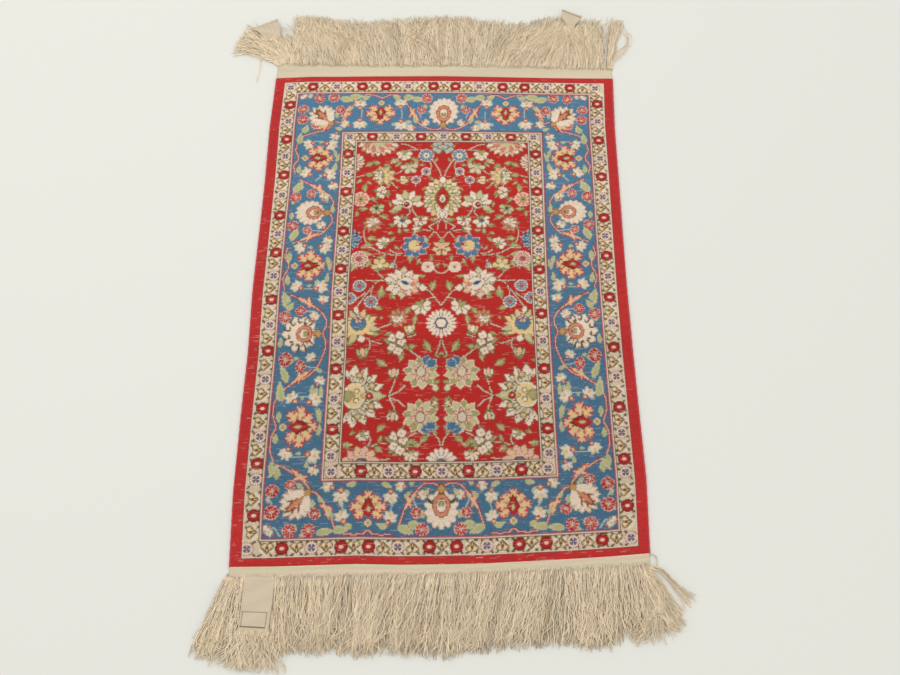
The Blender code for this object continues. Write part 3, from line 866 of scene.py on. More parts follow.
blossom(136.5, 350, 50, "ivory", "leaf", 1.0)
blossom(134, 322, 10, "yellow", "ivory", 1.2, 4)
tulip(148, 326, 180, "ivory", "mist", 0.7)
blossom(179, 273, 200, "ivory", "leaf", 1.3)
serrated(154.6, 259, 0, 11, 4.5, "salmon", "olive", 9, 320)
blossom(154, 259, 180, "ivory", "pink", 0.75)
tulip(168, 240, 10, "yellow", "ivory", 1.0)
posy(153, 229, 1.25)
tulip(119, 212, 10, "sage", "peach", 1.1)
tulip(151, 190, 0, "ivory", "peach", 1.0)
tulip(151, 154, 180, "ivory", "peach", 1.0)
posy(157, 121, 1.25)
blossom(122, 128, 200, "ivory", "leaf", 0.8)
blossom(170, 108, 180, "ivory", "peach", 0.95)
for j in (181, 163):
    for turn in (0, 180):
        leaf(193.5, j, 6.5, 7, "ecru" if turn else "leaf", turn + 10, edge="olive", belly=0.4)
    patch(193.5, j, 1.4, "ivory")
    patch(192, j + 3, 1.0, "brown")
for j, turn in ((213, 60), (138, 120), (186, 100), (158, 80)):
    leaf(198, j, 6, 3, "leaf", turn, edge="olive")
print("small flowers worked")

# %% Great flowers in the far half
serrated(133, 440, 0, 14, 6, "peach", "olive", 8, 315)
serrated(132, 440, 20, 9, 4, "yellow", "leaf", 7, 300)
blossom(129, 440, 90, "ivory", "mist", 0.8)
leaf(121, 441, 9, 6, "leaf", 90, edge="olive")

crown(161, 402, (19,), 8, ("sage", "ivory", "ivory"), (118, -88, 82, -54, 48, -20, 14), 0.04, 2, belly=0.64)
rings(161, 401.5, ((6.4, "olive"), (5.6, "ivory")), 9, 0.05)
patch(160, 401, 3.6, "crimson")
patch(159.5, 402, 1.3, "leaf")

# the outer petals are longest towards the far and the near end
outer = range(5, 180, 17)
reaches = [21 + 7 * abs(math.cos(math.radians(swing))) ** 1.5 for swing in outer]
crown(200, 410, reaches, 9, ("ivory", "yellow"), outer, 0.05, belly=0.62)
crown(200, 410, (20,), 6, ("sage", "ivory"), range(13, 175, 17), 0.08)
crown(200, 410, (15,), 5.5, ("yellow", "sage"), range(5, 180, 25), 0.1, belly=0.7)
leaf(200, 393, 33, 17, "olive", 0, belly=0.5)
leaf(200, 395, 29, 13.5, "red", 0, belly=0.5)
leaf(200, 402, 13, 7.5, "ivory", 0, edge="maroon")
leaf(200, 403, 9, 3, "leaf", 0)
leaf(200, 384, 8, 6, "ivory", 0, edge="olive")

crown(171, 347, (15.8,), 9, ("blue",), turns(10, 45, 8), 0.08, 2, "pink")
rings(171, 347, ((8.5, "violet"), (7.6, "pink")), 8, 0.25)
patch(170, 347, 6.4, "yellow", 7, 0.2, egg=0.2)
leaf(172, 348, 8, 4.5, "red", -75)
patch(174, 349, 1.2, "ivory")
crown(200, 344, (11,), 5.5, ("yellow", "peach"), turns(0, 51, 7), 0.0, 2, belly=0.65)
patch(200, 346, 3, "pink")
leaf(200, 350, 8, 5, "leaf", 0, edge="olive")

crown(159, 301, (20, 18), 9, ("ecru", "ivory", "ivory"), turns(0, 30, 12), 0.05, 2, belly=0.68)
crown(166, 298, (12,), 5, ("ivory", "peach"), turns(0, 45, 8), 0.1, 0, "salmon", 0.6)
leaf(174, 296, 22, 16, "ivory", 72, 0.05, 0, "olive", 0.55)
leaf(166, 299, 10, 4, "navy", 70, 0.1, edge="mist")
patch(170, 299, 3.2, "salmon", 6, 0.2)
leaf(148, 304, 9, 7, "ivory", 80, edge="olive")
leaf(176, 295, 9, 8, "ivory", -90, edge="olive")
print("far half worked")

# %% Great flowers in the near half
daisy(200, 252.5, 17.5, 20)

crown(114, 248, (18, 22), 7, ("yellow", "sage", "peach"), turns(-115, 21, 14), 0.08, 2)
patch(114, 250, 12, "yellow", 9, 0.12)
rings(113, 252, ((9, "olive"), (8.2, "blue")), 7, 0.08)
crown(113, 257, (5.5,), 2.6, ("peach",), turns(0, 72, 5), edge="violet", belly=0.45)
leaf(111, 264, 9, 5, "ivory", 10, edge="olive")
leaf(118, 230, 9, 8, "ivory", 20, edge="olive")

for j, flip in ((196, 1), (148, -1)):
    turn = 0 if flip == 1 else 180
    crown(179, j, (18,), 9, ("leaf", "sage"), turns(10, 36, 10), 0.05, 2, "ivory", 0.7)
    for swing in (-18, -46):
        leaf(181, j + 2 * flip, 18, 10, "blue", turn + swing * flip, 0.0, 2, "mist", 0.72)
    patch(179, j, 10, "ecru", 10, 0.12)
    crown(179, j, (9.5,), 3, ("pink",), turns(0, 51, 7), 0.1, 0, "rose", 0.7)
    rings(179, j + flip, ((5, "olive"), (4.2, "ecru")), tall=1.3)

serrated(108, 170, -90, 35, 11, "ivory", "olive", 9, 168, belly=0.72)
serrated(108, 170, -90, 27, 7, "ecru", "olive", 8, 148, belly=0.72)
for swing in (-20, -62, -118, -160):
    centre_i, centre_j = beyond(108, 170, 24, swing)
    rings(centre_i, centre_j, ((4.4, "olive"), (3.5, "leaf")), 5, 0.2)
    patch(centre_i, centre_j, 1.8, "peach")
rings(112, 170, ((15.5, "olive"), (14.5, "ivory")), 14, 0.05, wide=0.8)
patch(112, 170, 12.5, "yellow", wide=0.8)
leaf(100, 170, 12, 12, "leaf", -90, edge="olive")
for up_step in (5, -5):
    patch(114, 170 + up_step, 3, "olive")
    patch(114, 170 + up_step, 2.2, "ivory", 5, 0.3)
leaf(119, 170, 25, 12, "sage", -90, 0.0, 3, "olive")
rings(127, 169.5, ((4.4, "maroon"), (3.5, "red")), 8, 0.1)
patch(127, 169.5, 1.1, "ivory")
print("near half worked")

# %% Half flowers at the field's edges
crown(126, 492, (26,), 8, ("peach", "ivory"), turns(100, 16, 11), 0.0, 2, belly=0.7)
crown(126, 490, (18,), 5.5, ("ecru", "salmon"), turns(104, 19, 9), edge="rose")
patch(126, 488, 9, "sage", 9, 0.2)
patch(126, 489, 5.5, "peach", 7, 0.2)
crown(98, 459, (13,), 6, ("ivory", "pink"), turns(-150, 24, 6), belly=0.7)
crown(99, 355, (13,), 6.5, ("navy", "blue"), turns(-160, 28, 6), 0.0, 2, "mist", 0.7)
for n in range(9):
    leaf(200, 99, 16, 4.6, "ivory", 90 - 22.5 * n, belly=0.74)
    leaf(200, 99, 15, 0.8, "slate", 79 - 22.5 * n, belly=0.7)
patch(200, 98, 6, "slate")
crown(121, 98, (19,), 9, ("peach", "pink"), turns(75, -30, 6), 0.0, 2, belly=0.7)
rings(122, 98, ((8.5, "peach"), (6.5, "slate")))
print("edges worked")

# %% [markdown]
# ## Reading the rows back, and the two guards
#
# Now the left half is read back for the right half. The right bands are a little narrower
# than the left ones, as the weaver packed them, so the columns are matched band by band.
# The two narrow guards go in last. They are not mirrored: they run round as a repeat of a
# red rosette, a heart, and a star, counted out one by one.

# %% Mirror
RIGHT_BANDS = (MIDDLE, RIGHT_FIELD_LINE, 315.5, RIGHT_OUTER_LINE, RIGHT_EDGING_LINE, ACROSS)
LEFT_BANDS = (MIDDLE, FIELD_LINE, 83, OUTER_LINE, EDGING_LINE, 0)
columns = np.arange(MIDDLE, ACROSS) + 0.5
left_columns = np.interp(columns, RIGHT_BANDS, LEFT_BANDS).astype(int)
chart[:, MIDDLE:] = chart[:, np.clip(left_columns, 0, MIDDLE - 1)]
print("the rows are read back over", ACROSS - MIDDLE, "columns")

# %% Guard repeats
def whole(quarter):
    """A chart from its upper left quarter, the last row and column of which are the middle ones."""
    rows = [row + row[-2::-1] for row in quarter]
    return rows + rows[-2::-1]


ROSETTE = whole((
    "....mrm",
    "..mrrmr",
    ".mrrRRR",
    ".rrRRmR",
    "mrRRRRR",
    "rmRRRcc",
    "mrRmccy",
))
HEART = (
    "..oooo.oooo..",
    ".ooyycoocyyo.",
    "ooyccyoyccyoo",
    "oyyccbbbccyyo",
    "ohhycbkbcyhho",
    ".oohybbbyhoo.",
    "..okhhyhhko..",
    "...ookyko....",
    "....okyko....",
    ".....oko.....",
    "......o......",
)
STAR = whole((
    "....rcr",
    "..rrccp",
    ".rccccp",
    ".rccssc",
    "rccssvc",
    "cccssvv",
    "rppccve",
))
# middles of the motifs along each end, and their kinds
NEAR_GUARD = tuple(zip((
    15.5, 34, 48.5, 62.5, 76.5, 91, 104, 117, 131, 145, 159, 173, 188.5, 200.5, 214.7, 229.5, 243.6, 258,
    274, 287, 300.5, 314, 327, 341, 355, 368.5, 382,
), "SHRHSHRHRUSURHRUSURHRUSURHS"))
FAR_GUARD = tuple(zip((
    18, 31.5, 45, 59, 73, 87, 102, 115, 130, 143, 157, 172, 186, 199, 213, 227, 240, 254, 268, 281.5, 295,
    308, 321, 335, 348.5, 363.5, 379,
), "SURUSURURUSURURUSURURUSURUS"))
NEAR_INNER = tuple(zip((
    92, 108, 121.5, 135, 148, 161, 175, 188, 201, 213.5, 226, 240, 254, 267, 279, 291.5, 305,
), "SHRUSURHSHRUSURHS"))
FAR_INNER = tuple(zip((
    92, 105, 119, 132, 146, 160, 174, 186.5, 200, 213, 226, 239, 252, 265, 279, 291, 304.6,
), "SURUSURUSURUSURUS"))
# rows of the red rosettes up each side, and what stands before the first and after the last
SIDE_GUARDS = (
    # column, first motifs, red rosettes, last motifs
    (20, ((32, "U"), (48, "R"), (64.5, "U"), (84, "S")), (100, 158, 222, 282, 341, 388, 443, 493, 543),
     ((556, "U"),)),
    (380, ((32, "U"), (48, "R"), (64, "U"), (82, "S")), (96, 153, 220, 280, 333, 383, 438, 491, 545),
     ((557, "U"),)),
    (91.5, ((107, "S"), (121, "U")), (135, 200, 263, 319, 366, 419, 471), ((483, "U"),)),
    (307, ((106, "S"), (119, "U")), (132, 199, 263, 316, 366, 418, 471), ((483, "U"),)),
)


def side_motifs(first, reds, last):
    """The motifs up a side: between two red rosettes stand a heart, a star and a heart."""
    motifs = list(first)
    for row, following in zip(reds, reds[1:]):
        step = (following - row) / 4
        motifs += [(row, "R"), (row + step, "U"), (row + 2 * step, "S"), (row + 3 * step, "U")]
    return motifs + [(reds[-1], "R"), *last]


print("guard repeats charted")

# %% Guards
# left, right, near and far edge of each run of fine lines, in knots
EDGING_LINES = (10, 390, 7, 577)
OUTER_LINES = (26, 373, 23, 561)
INNER_LINES = (82, 316, 80, 503)
FIELD_LINES = (99, 300, 98, 489)
EDGING_ROWS = (8, 576)          # the red edging lies before the first row and from the second on
GUARD_KINDS = {"R": (ROSETTE, 0), "S": (STAR, 0), "H": (HEART, 0), "U": (HEART, 2)}


def corner_leaves(i, j, sideways):
    """The dark leaves that fill the gaps between two motifs, at both edges of the guard."""
    for side in (1, -1):
        for lean in (1, -1):
            foot = (i + side * 7.8, j + lean * 0.8) if sideways else (i + lean * 0.8, j + side * 7.8)
            inwards = 90 * side if sideways else 90 + 90 * side
            turn = inwards + side * lean * (-46 if sideways else 46)
            leaf(*foot, 5.8, 2.4, "olive", turn, 0.15, belly=0.5)
            leaf(*foot, 3.8, 1.0, "bark", turn, 0.15, belly=0.5)


def guard(motifs, sideways=False):
    """Pale octagons with a motif in each, and dark leaves between them."""
    for i, j, _ in motifs:
        rings(i, j, ((7.7, "ecru"), (7.0, "ivory")), 8, 0.04, turn=22.5)
    for (i, j, _), (next_i, next_j, _) in zip(motifs, motifs[1:]):
        corner_leaves((i + next_i) / 2, (j + next_j) / 2, sideways)
    for i, j, kind in motifs:
        rows, quarters = GUARD_KINDS[kind]
        stitch(i, j, rows, quarters + (1 if sideways and kind in "HU" else 0))


def frame_lines(left, right_side, near, far, dyes):
    """Fine lines round the rug, one knot wide, from the outermost inwards."""
    for n, dye in enumerate(dyes):
        for row in (near + n, far - n - 1):
            chart[row, left + n:right_side - n] = NUMBER[dye]
        for column in (left + n, right_side - n - 1):
            chart[near + n:far - n, column] = NUMBER[dye]


bands = np.ones(chart.shape, bool)
bands[BLUE_ROWS, OUTER_LINE:RIGHT_OUTER_LINE] = False
left, right_side, near, far = INNER_LINES
bands[near:far, left:right_side] = True
bands[FIELD_ROWS, FIELD_LINE:RIGHT_FIELD_LINE] = False
chart[bands] = NUMBER["ecru"]
for row, end_guard in ((16.5, NEAR_GUARD), (568, FAR_GUARD), (90.5, NEAR_INNER), (494.5, FAR_INNER)):
    guard([(i, row, kind) for i, kind in end_guard])
for column, first, reds, last in SIDE_GUARDS:
    guard([(column, j, kind) for j, kind in side_motifs(first, reds, last)], True)
frame_lines(*OUTER_LINES, ("olive", "ivory", "rose", "violet"))
frame_lines(*INNER_LINES, ("violet", "rose", "ivory", "olive"))
frame_lines(*FIELD_LINES, ("olive", "ivory", "maroon"))
chart[:EDGING_ROWS[0]] = NUMBER["edging"]
chart[EDGING_ROWS[1]:] = NUMBER["edging"]
chart[:, :EDGING_LINE] = NUMBER["edging"]
chart[:, RIGHT_EDGING_LINE:] = NUMBER["edging"]
frame_lines(*EDGING_LINES, ("crimson", "ivory"))
print("guards and lines worked")

# %% [markdown]
# ## The hand of the weaver
#
# Flat colour looks printed. Real silk takes dye unevenly, each knot leans its own way, and a
# new batch of yarn shows as a faint band across the rug. On the back, short pale dashes of
# weft also show between the rows. A painted sheen also makes the knots lighter towards the
# far end. All of this is worked out once here, as one colour for each knot, and what is
# random comes from seeded sources so that it is the same every time.

# %% Colour of every knot
rng = np.random.default_rng(584)
dye_colours = np.array([linear(colour)[:3] for colour in DYES.values()])
knot_colour = dye_colours[chart]
is_blue = chart == NUMBER["blue"]
is_edging = chart == NUMBER["edging"]
# painted sheen: every dye is painted lighter towards the far end, where the silk's sheen
# shows brighter, the edging least and the blue most: near end, middle, far end
END_SHEEN = ((True, (0.87, 1.0, 1.13)), (is_blue, (0.76, 1.0, 1.3)), (is_edging, (0.975, 1.0, 1.035)))
painted_sheen = np.ones(chart.shape)
for knots, shades in END_SHEEN:
    shade_of_rows = np.interp(np.arange(ALONG), (0, ALONG / 2, ALONG), shades)
    painted_sheen = np.where(knots, shade_of_rows[:, None], painted_sheen)
knot_colour = knot_colour * painted_sheen[..., None]
# the blue silk took its dye unevenly, knot by knot, and the red of the edging in short streaks
SPECKLE = np.random.default_rng(17)
blue_speckle = 1 + SPECKLE.normal(0, 0.085, chart.shape)[..., None] * np.array((1.3, 1.0, 0.8))
knot_colour = np.where(is_blue[..., None], knot_colour * blue_speckle, knot_colour)
STREAK = 8                      # knots in one streak
PALER = 0.008                   # added to each channel of the streaked red
streaks = np.repeat(SPECKLE.normal(0, 0.05, (ALONG, ACROSS // STREAK)), STREAK, axis=1)
streaks = streaks + SPECKLE.normal(0, 0.04, chart.shape)
knot_colour = np.where(is_edging[..., None], knot_colour * (1 + streaks[..., None]) + PALER, knot_colour)
BLEED = 0.09                    # how much of a knot's colour comes from each of its four neighbours
padded = np.pad(knot_colour, ((1, 1), (1, 1), (0, 0)), "edge")
neighbours = padded[:-2, 1:-1] + padded[2:, 1:-1] + padded[1:-1, :-2] + padded[1:-1, 2:]
knot_colour = knot_colour * (1 - 4 * BLEED) + neighbours * BLEED
print("knots coloured, shades from", round(float(painted_sheen.min()), 2), "to", round(float(painted_sheen.max()), 2))

# %% Dashes of weft
# more of them near the near end, a few of them long, and a few bright
WEFT_DASHES = 3600
WEFT_COLOUR = np.array(linear((222, 196, 176))[:3])
weft = np.zeros(chart.shape)
for _ in range(WEFT_DASHES):
    j = int(ALONG * rng.beta(1.0, 1.35))
    i = int(rng.integers(0, ACROSS - 16))
    long = int(rng.integers(2, 8) + 7 * (rng.random() < 0.06))
    weft[j, i:i + long] = rng.uniform(0.05, 0.24) + 0.2 * (rng.random() < 0.05)
knot_colour += weft[..., None] * (WEFT_COLOUR - knot_colour)
print("weft shows on", int((weft > 0).sum()), "knots")

# %% Leaning knots and batches of yarn
BATCH = 36                      # rows tied from one batch of yarn
lean = rng.normal(0, 0.055, chart.shape)
batches = np.interp(np.arange(ALONG), np.arange(0, ALONG + BATCH, BATCH), rng.normal(0, 0.035, 18))
row_shade = rng.normal(0, 0.022, ALONG) + batches
knot_colour *= np.clip(1 + lean + row_shade[:, None], 0.7, 1.3)[..., None]
knot_colour = np.clip(knot_colour, 0, 1)
print("knots take", len(np.unique(chart)), "dyes")

# %% [markdown]
# ## Shader groups
#
# Three effects are used by more than one material, so each is a node group, made once. *Knot
# back* puts a small bump on every knot and paints shade into the grooves between them. It
# reads a UV map that counts in knots, so the bumps sit exactly on the faces. *Plain weave* is
# the tight over-and-under of the woven ends, and of the labels, painted darker where its
# threads lie low. *Twisted thread* gives fringe and cords a fine grain, and makes each thread
# as dark or light as its own shade says.

# %% Group helpers
def new_group(name, inputs, outputs):
    """A shader group, and its input and output nodes. Sockets have a name, a kind and perhaps a value."""
    group = bpy.data.node_groups.new(name, "ShaderNodeTree")
    for socket_name, kind, value in inputs:
        socket = group.interface.new_socket(socket_name, in_out="INPUT", socket_type="NodeSocket" + kind)
        if value is not None:
            socket.default_value = value
    for socket_name, kind in outputs:
        group.interface.new_socket(socket_name, in_out="OUTPUT", socket_type="NodeSocket" + kind)
    return group, group.nodes.new("NodeGroupInput"), group.nodes.new("NodeGroupOutput")


def maths(tree, operation, first, second=None):
    """A Math node. Each input is a number or another node's socket."""
    node = tree.nodes.new("ShaderNodeMath")
    node.operation = operation
    for socket, value in zip(node.inputs, (first, second)):
        if isinstance(value, (int, float)):
            socket.default_value = value
        elif value is not None:
            tree.links.new(value, socket)
    return node.outputs[0]


def scaled(tree, value, factor, extra):
    """A value times a factor, plus something extra."""
    return maths(tree, "ADD", maths(tree, "MULTIPLY", value, factor), extra)


def split(tree, vector):
    """The outputs X, Y and Z of a vector."""
    node = tree.nodes.new("ShaderNodeSeparateXYZ")
    tree.links.new(vector, node.inputs[0])
    return node.outputs


def noise(tree, coordinates, scale, detail=3.0):
    """A Noise texture's value on some coordinates."""
    node = tree.nodes.new("ShaderNodeTexNoise")
    node.inputs["Scale"].default_value = scale
    node.inputs["Detail"].default_value = detail
    tree.links.new(coordinates, node.inputs["Vector"])
    return node.outputs["Fac"]


def shaded(tree, colour, factor):
    """A colour or a place times one value."""
    node = tree.nodes.new("ShaderNodeVectorMath")
    node.operation = "SCALE"
    tree.links.new(colour, node.inputs[0])
    tree.links.new(factor, node.inputs["Scale"])
    return node.outputs[0]


def bumped(tree, height, strength, distance):
    """A Bump node's normal."""
    node = tree.nodes.new("ShaderNodeBump")
    node.inputs["Strength"].default_value = strength
    node.inputs["Distance"].default_value = distance
    tree.links.new(height, node.inputs["Height"])
    return node.outputs["Normal"]


print("group helpers ready")

# %% Group: knot back
def make_knot_back():
    """Bumps of the knots, with painted shade in the grooves between them, on a UV map that counts in knots.
    """
    group, taken, given = new_group(
        "Knot back",
        (("Dye", "Color", None), ("Knots", "Vector", None), ("Groove shade", "Float", 0.25)),
        (("Colour", "Color"), ("Height", "Float"), ("Roughness", "Float")),
    )
    places = split(group, taken.outputs["Knots"])
    waves = []
    for axis, power in (("X", 0.6), ("Y", 0.9)):
        half_turns = maths(group, "MULTIPLY", places[axis], math.pi)
        wave = maths(group, "ABSOLUTE", maths(group, "SINE", half_turns))
        waves.append(maths(group, "POWER", wave, power))
    bump = maths(group, "MULTIPLY", waves[0], waves[1])
    fibre = noise(group, taken.outputs["Knots"], 2.3, 2.0)
    height = maths(group, "ADD", bump, maths(group, "MULTIPLY", fibre, 0.35))
    # painted shade: the colour is darkened in the grooves between knots
    painted_hollow_shade = maths(group, "MULTIPLY", maths(group, "SUBTRACT", 1.0, bump), taken.outputs["Groove shade"])
    light = maths(group, "ADD", maths(group, "SUBTRACT", 1.0, painted_hollow_shade), maths(group, "MULTIPLY", fibre, 0.16))
    worn = noise(group, taken.outputs["Knots"], 0.035, 3.0)
    group.links.new(shaded(group, taken.outputs["Dye"], light), given.inputs["Colour"])
    group.links.new(height, given.inputs["Height"])
    group.links.new(scaled(group, worn, 0.2, 0.52), given.inputs["Roughness"])
    return group


KNOT_BACK = make_knot_back()
print("made", KNOT_BACK.name)

# %% Group: plain weave
def make_plain_weave():
    """Over and under threads on a UV map that counts in millimetres, painted darker where they lie low."""
    group, taken, given = new_group(
        "Plain weave",
        (("Colour", "Color", None), ("Millimetres", "Vector", None), ("Threads", "Float", 1.0)),
        (("Colour", "Color"), ("Height", "Float")),
    )
    places = split(group, shaded(group, taken.outputs["Millimetres"], taken.outputs["Threads"]))
    across_wave = maths(group, "SINE", maths(group, "MULTIPLY", places["X"], math.pi))
    along_wave = maths(group, "SINE", maths(group, "MULTIPLY", places["Y"], math.pi))
    crossing = maths(group, "MULTIPLY", across_wave, along_wave)
    rib = maths(group, "ABSOLUTE", along_wave)
    slub = noise(group, taken.outputs["Millimetres"], 0.35, 4.0)
    height = maths(group, "ADD", maths(group, "MULTIPLY", crossing, 0.25), maths(group, "MULTIPLY", rib, 0.6))
    height = maths(group, "ADD", height, maths(group, "MULTIPLY", slub, 0.8))
    # painted shade: the colour is darker where the threads lie low
    light = scaled(group, height, 0.14, 0.86)
    group.links.new(shaded(group, taken.outputs["Colour"], light), given.inputs["Colour"])
    group.links.new(height, given.inputs["Height"])
    return group


PLAIN_WEAVE = make_plain_weave()
print("made", PLAIN_WEAVE.name)

# %% Group: twisted thread
LIGHTEST = 1.16                 # how light a thread of shade 1 is


def make_twisted_thread():
    """Thread between a dark and a light colour, by its shade, with a grain for its twist."""
    group, taken, given = new_group(
        "Twisted thread",
        (("Dark", "Color", None), ("Light", "Color", None), ("Place", "Vector", None),
         ("Shade", "Float", 0.5), ("Range", "Float", 0.4), ("Roughness", "Float", 0.6)),
        (("Colour", "Color"), ("Grain", "Float"), ("Roughness", "Float")),
    )
    own = taken.outputs["Shade"]
    span = taken.outputs["Range"]
    grain = noise(group, taken.outputs["Place"], 900.0, 2.0)
    patchy = noise(group, taken.outputs["Place"], 30.0, 2.0)
    light = scaled(group, own, span, maths(group, "SUBTRACT", LIGHTEST, span))
    light = maths(group, "MULTIPLY", light, scaled(group, grain, 0.5, 0.75))
    light = maths(group, "MULTIPLY", light, scaled(group, patchy, 0.2, 0.9))
    base = group.nodes.new("ShaderNodeMix")
    base.data_type = "RGBA"
    group.links.new(taken.outputs["Dark"], base.inputs["A"])
    group.links.new(taken.outputs["Light"], base.inputs["B"])
    group.links.new(maths(group, "ADD", own, 0.6), base.inputs["Factor"])
    group.links.new(shaded(group, base.outputs["Result"], light), given.inputs["Colour"])
    group.links.new(grain, given.inputs["Grain"])
    even = maths(group, "SUBTRACT", taken.outputs["Roughness"], 0.1)
    group.links.new(scaled(group, grain, 0.2, even), given.inputs["Roughness"])
    return group


TWISTED_THREAD = make_twisted_thread()
print("made", TWISTED_THREAD.name)


# %% Materials of the knotted cloth
def attribute(tree, name, output="Color"):
    """The socket of a piece's own attribute."""
    node = tree.nodes.new("ShaderNodeAttribute")
    node.attribute_name = name
    return node.outputs[output]


def map_socket(tree, name):
    """The socket of a piece's own UV map."""
    node = tree.nodes.new("ShaderNodeUVMap")
    node.uv_map = name
    return node.outputs["UV"]


def use_group(tree, group, links):
    """A group placed in a material, with each input linked or set."""
    node = tree.nodes.new("ShaderNodeGroup")
    node.node_tree = group
    for name, value in links.items():
        if isinstance(value, bpy.types.NodeSocket):
            tree.links.new(value, node.inputs[name])
        else:
            node.inputs[name].default_value = value
    return node


def silk_material(name, groove_shade, bump_distance, sheen):
    """Dyed silk, its colour read from each knot."""
    material, tree, shader = new_material(name)
    made = use_group(tree, KNOT_BACK, {
        "Dye": attribute(tree, "dye"), "Knots": map_socket(tree, "knots"), "Groove shade": groove_shade,
    })
    tree.links.new(made.outputs["Colour"], shader.inputs["Base Color"])
    tree.links.new(made.outputs["Roughness"], shader.inputs["Roughness"])
    tree.links.new(bumped(tree, made.outputs["Height"], 0.5, bump_distance), shader.inputs["Normal"])
    shader.inputs["Specular IOR Level"].default_value = 0.15
    shader.inputs["Sheen Weight"].default_value = sheen
    shader.inputs["Sheen Roughness"].default_value = 0.45
    return material


KNOT_SILK = silk_material("silk_knots", 0.3, 0.0004, 0.06)
PILE_SILK = silk_material("silk_pile", 0.1, 0.0008, 0.4)
print("silk materials made")

# %% [markdown]
# ## The knots on the rug
#
# Each band of the rug becomes a grid with one face for every knot. The grid is made in
# knots first, its hole is cut for the bands that lie inside, the colours are read from the
# chart, and only then is each corner moved to its place on the floor. Cloth on a hard floor
# is not a glass plate, so the surface rises and falls by a few tenths of a millimetre.

# %% Helpers for cloth
def ripple(i, j):
    """The back's height over the floor in metres: low, long waves and a rim that bends down."""
    waves = np.sin(i / 37 + 0.6 * np.sin(j / 61)) + np.sin(j / 45 + 1.1 * np.sin(i / 83) + 1.0)
    rim = np.minimum(np.minimum(i, ACROSS - i), np.minimum(j, ALONG - j))
    return BACK_HEIGHT + (0.14 * waves - 0.5 * np.exp(-rim / 2.0)) * MM


def knot_grid(low_i, high_i, low_j, high_j, step=1):
    """A flat grid counted in knots."""
    shape = bmesh.new()
    middle = Matrix.Translation(((low_i + high_i) / 2, (low_j + high_j) / 2, 0))
    bmesh.ops.create_grid(
        shape,
        x_segments=(high_i - low_i) // step,
        y_segments=(high_j - low_j) // step,
        size=0.5,
        matrix=middle @ Matrix.Diagonal((high_i - low_i, high_j - low_j, 1, 1)),
    )
    return shape


def vertex_places(mesh):
    """A mesh's vertex places as an array."""
    places = np.empty(len(mesh.vertices) * 3, np.float32)
    mesh.vertices.foreach_get("co", places)
    return places.reshape(-1, 3)


def add_map(mesh, name, places, low, size):
    """A UV map from flat places: less the low corner, over the size."""
    corners = np.empty(len(mesh.loops), np.int32)
    mesh.loops.foreach_get("vertex_index", corners)
    layer = mesh.uv_layers.new(name=name)
    layer.data.foreach_set("uv", ((places[corners, :2] - low) / size).astype(np.float32).ravel())


def move(mesh, x, y, z):
    """Every vertex moved to its own x, y and z in metres."""
    mesh.vertices.foreach_set("co", np.stack((x, y, z), 1).astype(np.float32).ravel())
    mesh.update()


print("grids, maps and moves ready")

# %% Colours of faces
def colour_faces(mesh, light):
    """The colour of the knot under each face, kept on its corners as the attribute that the silk reads."""
    centres = np.empty(len(mesh.polygons) * 3, np.float32)
    mesh.polygons.foreach_get("center", centres)
    columns, rows, _ = centres.reshape(-1, 3).astype(int).T
    colours = knot_colour[rows, columns] * light
    sides = np.empty(len(mesh.polygons), np.int32)
    mesh.polygons.foreach_get("loop_total", sides)
    rgba = np.concatenate((colours, np.ones((len(colours), 1))), 1)
    layer = mesh.attributes.new("dye", "FLOAT_COLOR", "CORNER")
    layer.data.foreach_set("color", np.repeat(rgba, sides, 0).astype(np.float32).ravel())


print("faces can be coloured")

# %% Knotted bands
def knotted_band(name, outer, hole=None):
    """A band of knots between two boxes, each given as columns and rows."""
    low_i, high_i, low_j, high_j = outer
    shape = knot_grid(*outer)
    if hole:
        inside = []
        for face in shape.faces:
            centre = face.calc_center_median()
            if hole[0] < centre.x < hole[1] and hole[2] < centre.y < hole[3]:
                inside.append(face)
        bmesh.ops.delete(shape, geom=inside, context="FACES")
    mesh = mesh_from(shape, name)
    colour_faces(mesh, 1.0)
    places = vertex_places(mesh)
    size = max(high_i - low_i, high_j - low_j)
    add_map(mesh, "knots", places, np.zeros(2), 1.0)
    add_map(mesh, "OFBake", places, np.array((low_i, low_j)), size)
    x, y = rug_point(places[:, 0], places[:, 1])
    move(mesh, x, y, ripple(places[:, 0], places[:, 1]))
    mesh.materials.append(KNOT_SILK)
    print(name, len(mesh.polygons), "knots")
    return place(mesh, name)


BLUE_BOX = (30, 370, 26, 560)
INNER_BOX = (82, 316, 80, 504)
WHOLE_BOX = (0, ACROSS, 0, ALONG)
edging = knotted_band("red_edging_and_guard", WHOLE_BOX, BLUE_BOX)
blue_border = knotted_band("blue_border", BLUE_BOX, INNER_BOX)
red_field = knotted_band("field_and_inner_guard", INNER_BOX)

# %% [markdown]
# ## The pile and the side cords
#
# Under the knots lies the pile, pressed against the floor. It is one closed slab, coloured
# with the same chart at a quarter of its fineness, because pile blurs the dots. Along each
# long side the last warps are wrapped with red silk into a firm cord.

# %% Pile
PILE_STEP = 4
PILE_LIGHT = 0.9                # pile swallows a little light
PILE_TOP = BACK_HEIGHT - 0.75 * MM
pile_mesh = mesh_from(knot_grid(0, ACROSS, 0, ALONG, PILE_STEP), "pile_side")
colour_faces(pile_mesh, PILE_LIGHT)
places = vertex_places(pile_mesh)
add_map(pile_mesh, "knots", places, np.zeros(2), 1.0)
x, y = rug_point(places[:, 0], places[:, 1])
move(pile_mesh, x, y, np.full_like(x, PILE_TOP))
pile_mesh.materials.append(PILE_SILK)
pile = place(pile_mesh, "pile_side")
thickness = pile.modifiers.new("thickness", "SOLIDIFY")
thickness.thickness = PILE_TOP - 0.1 * MM
thickness.offset = -1.0
print("pile_side", len(pile_mesh.polygons), "faces before its thickness")


# %% Materials of thread
SHADED_PARTS = (1.0, 0.93, 0.80)        # light that reaches the lowest threads has turned warmer


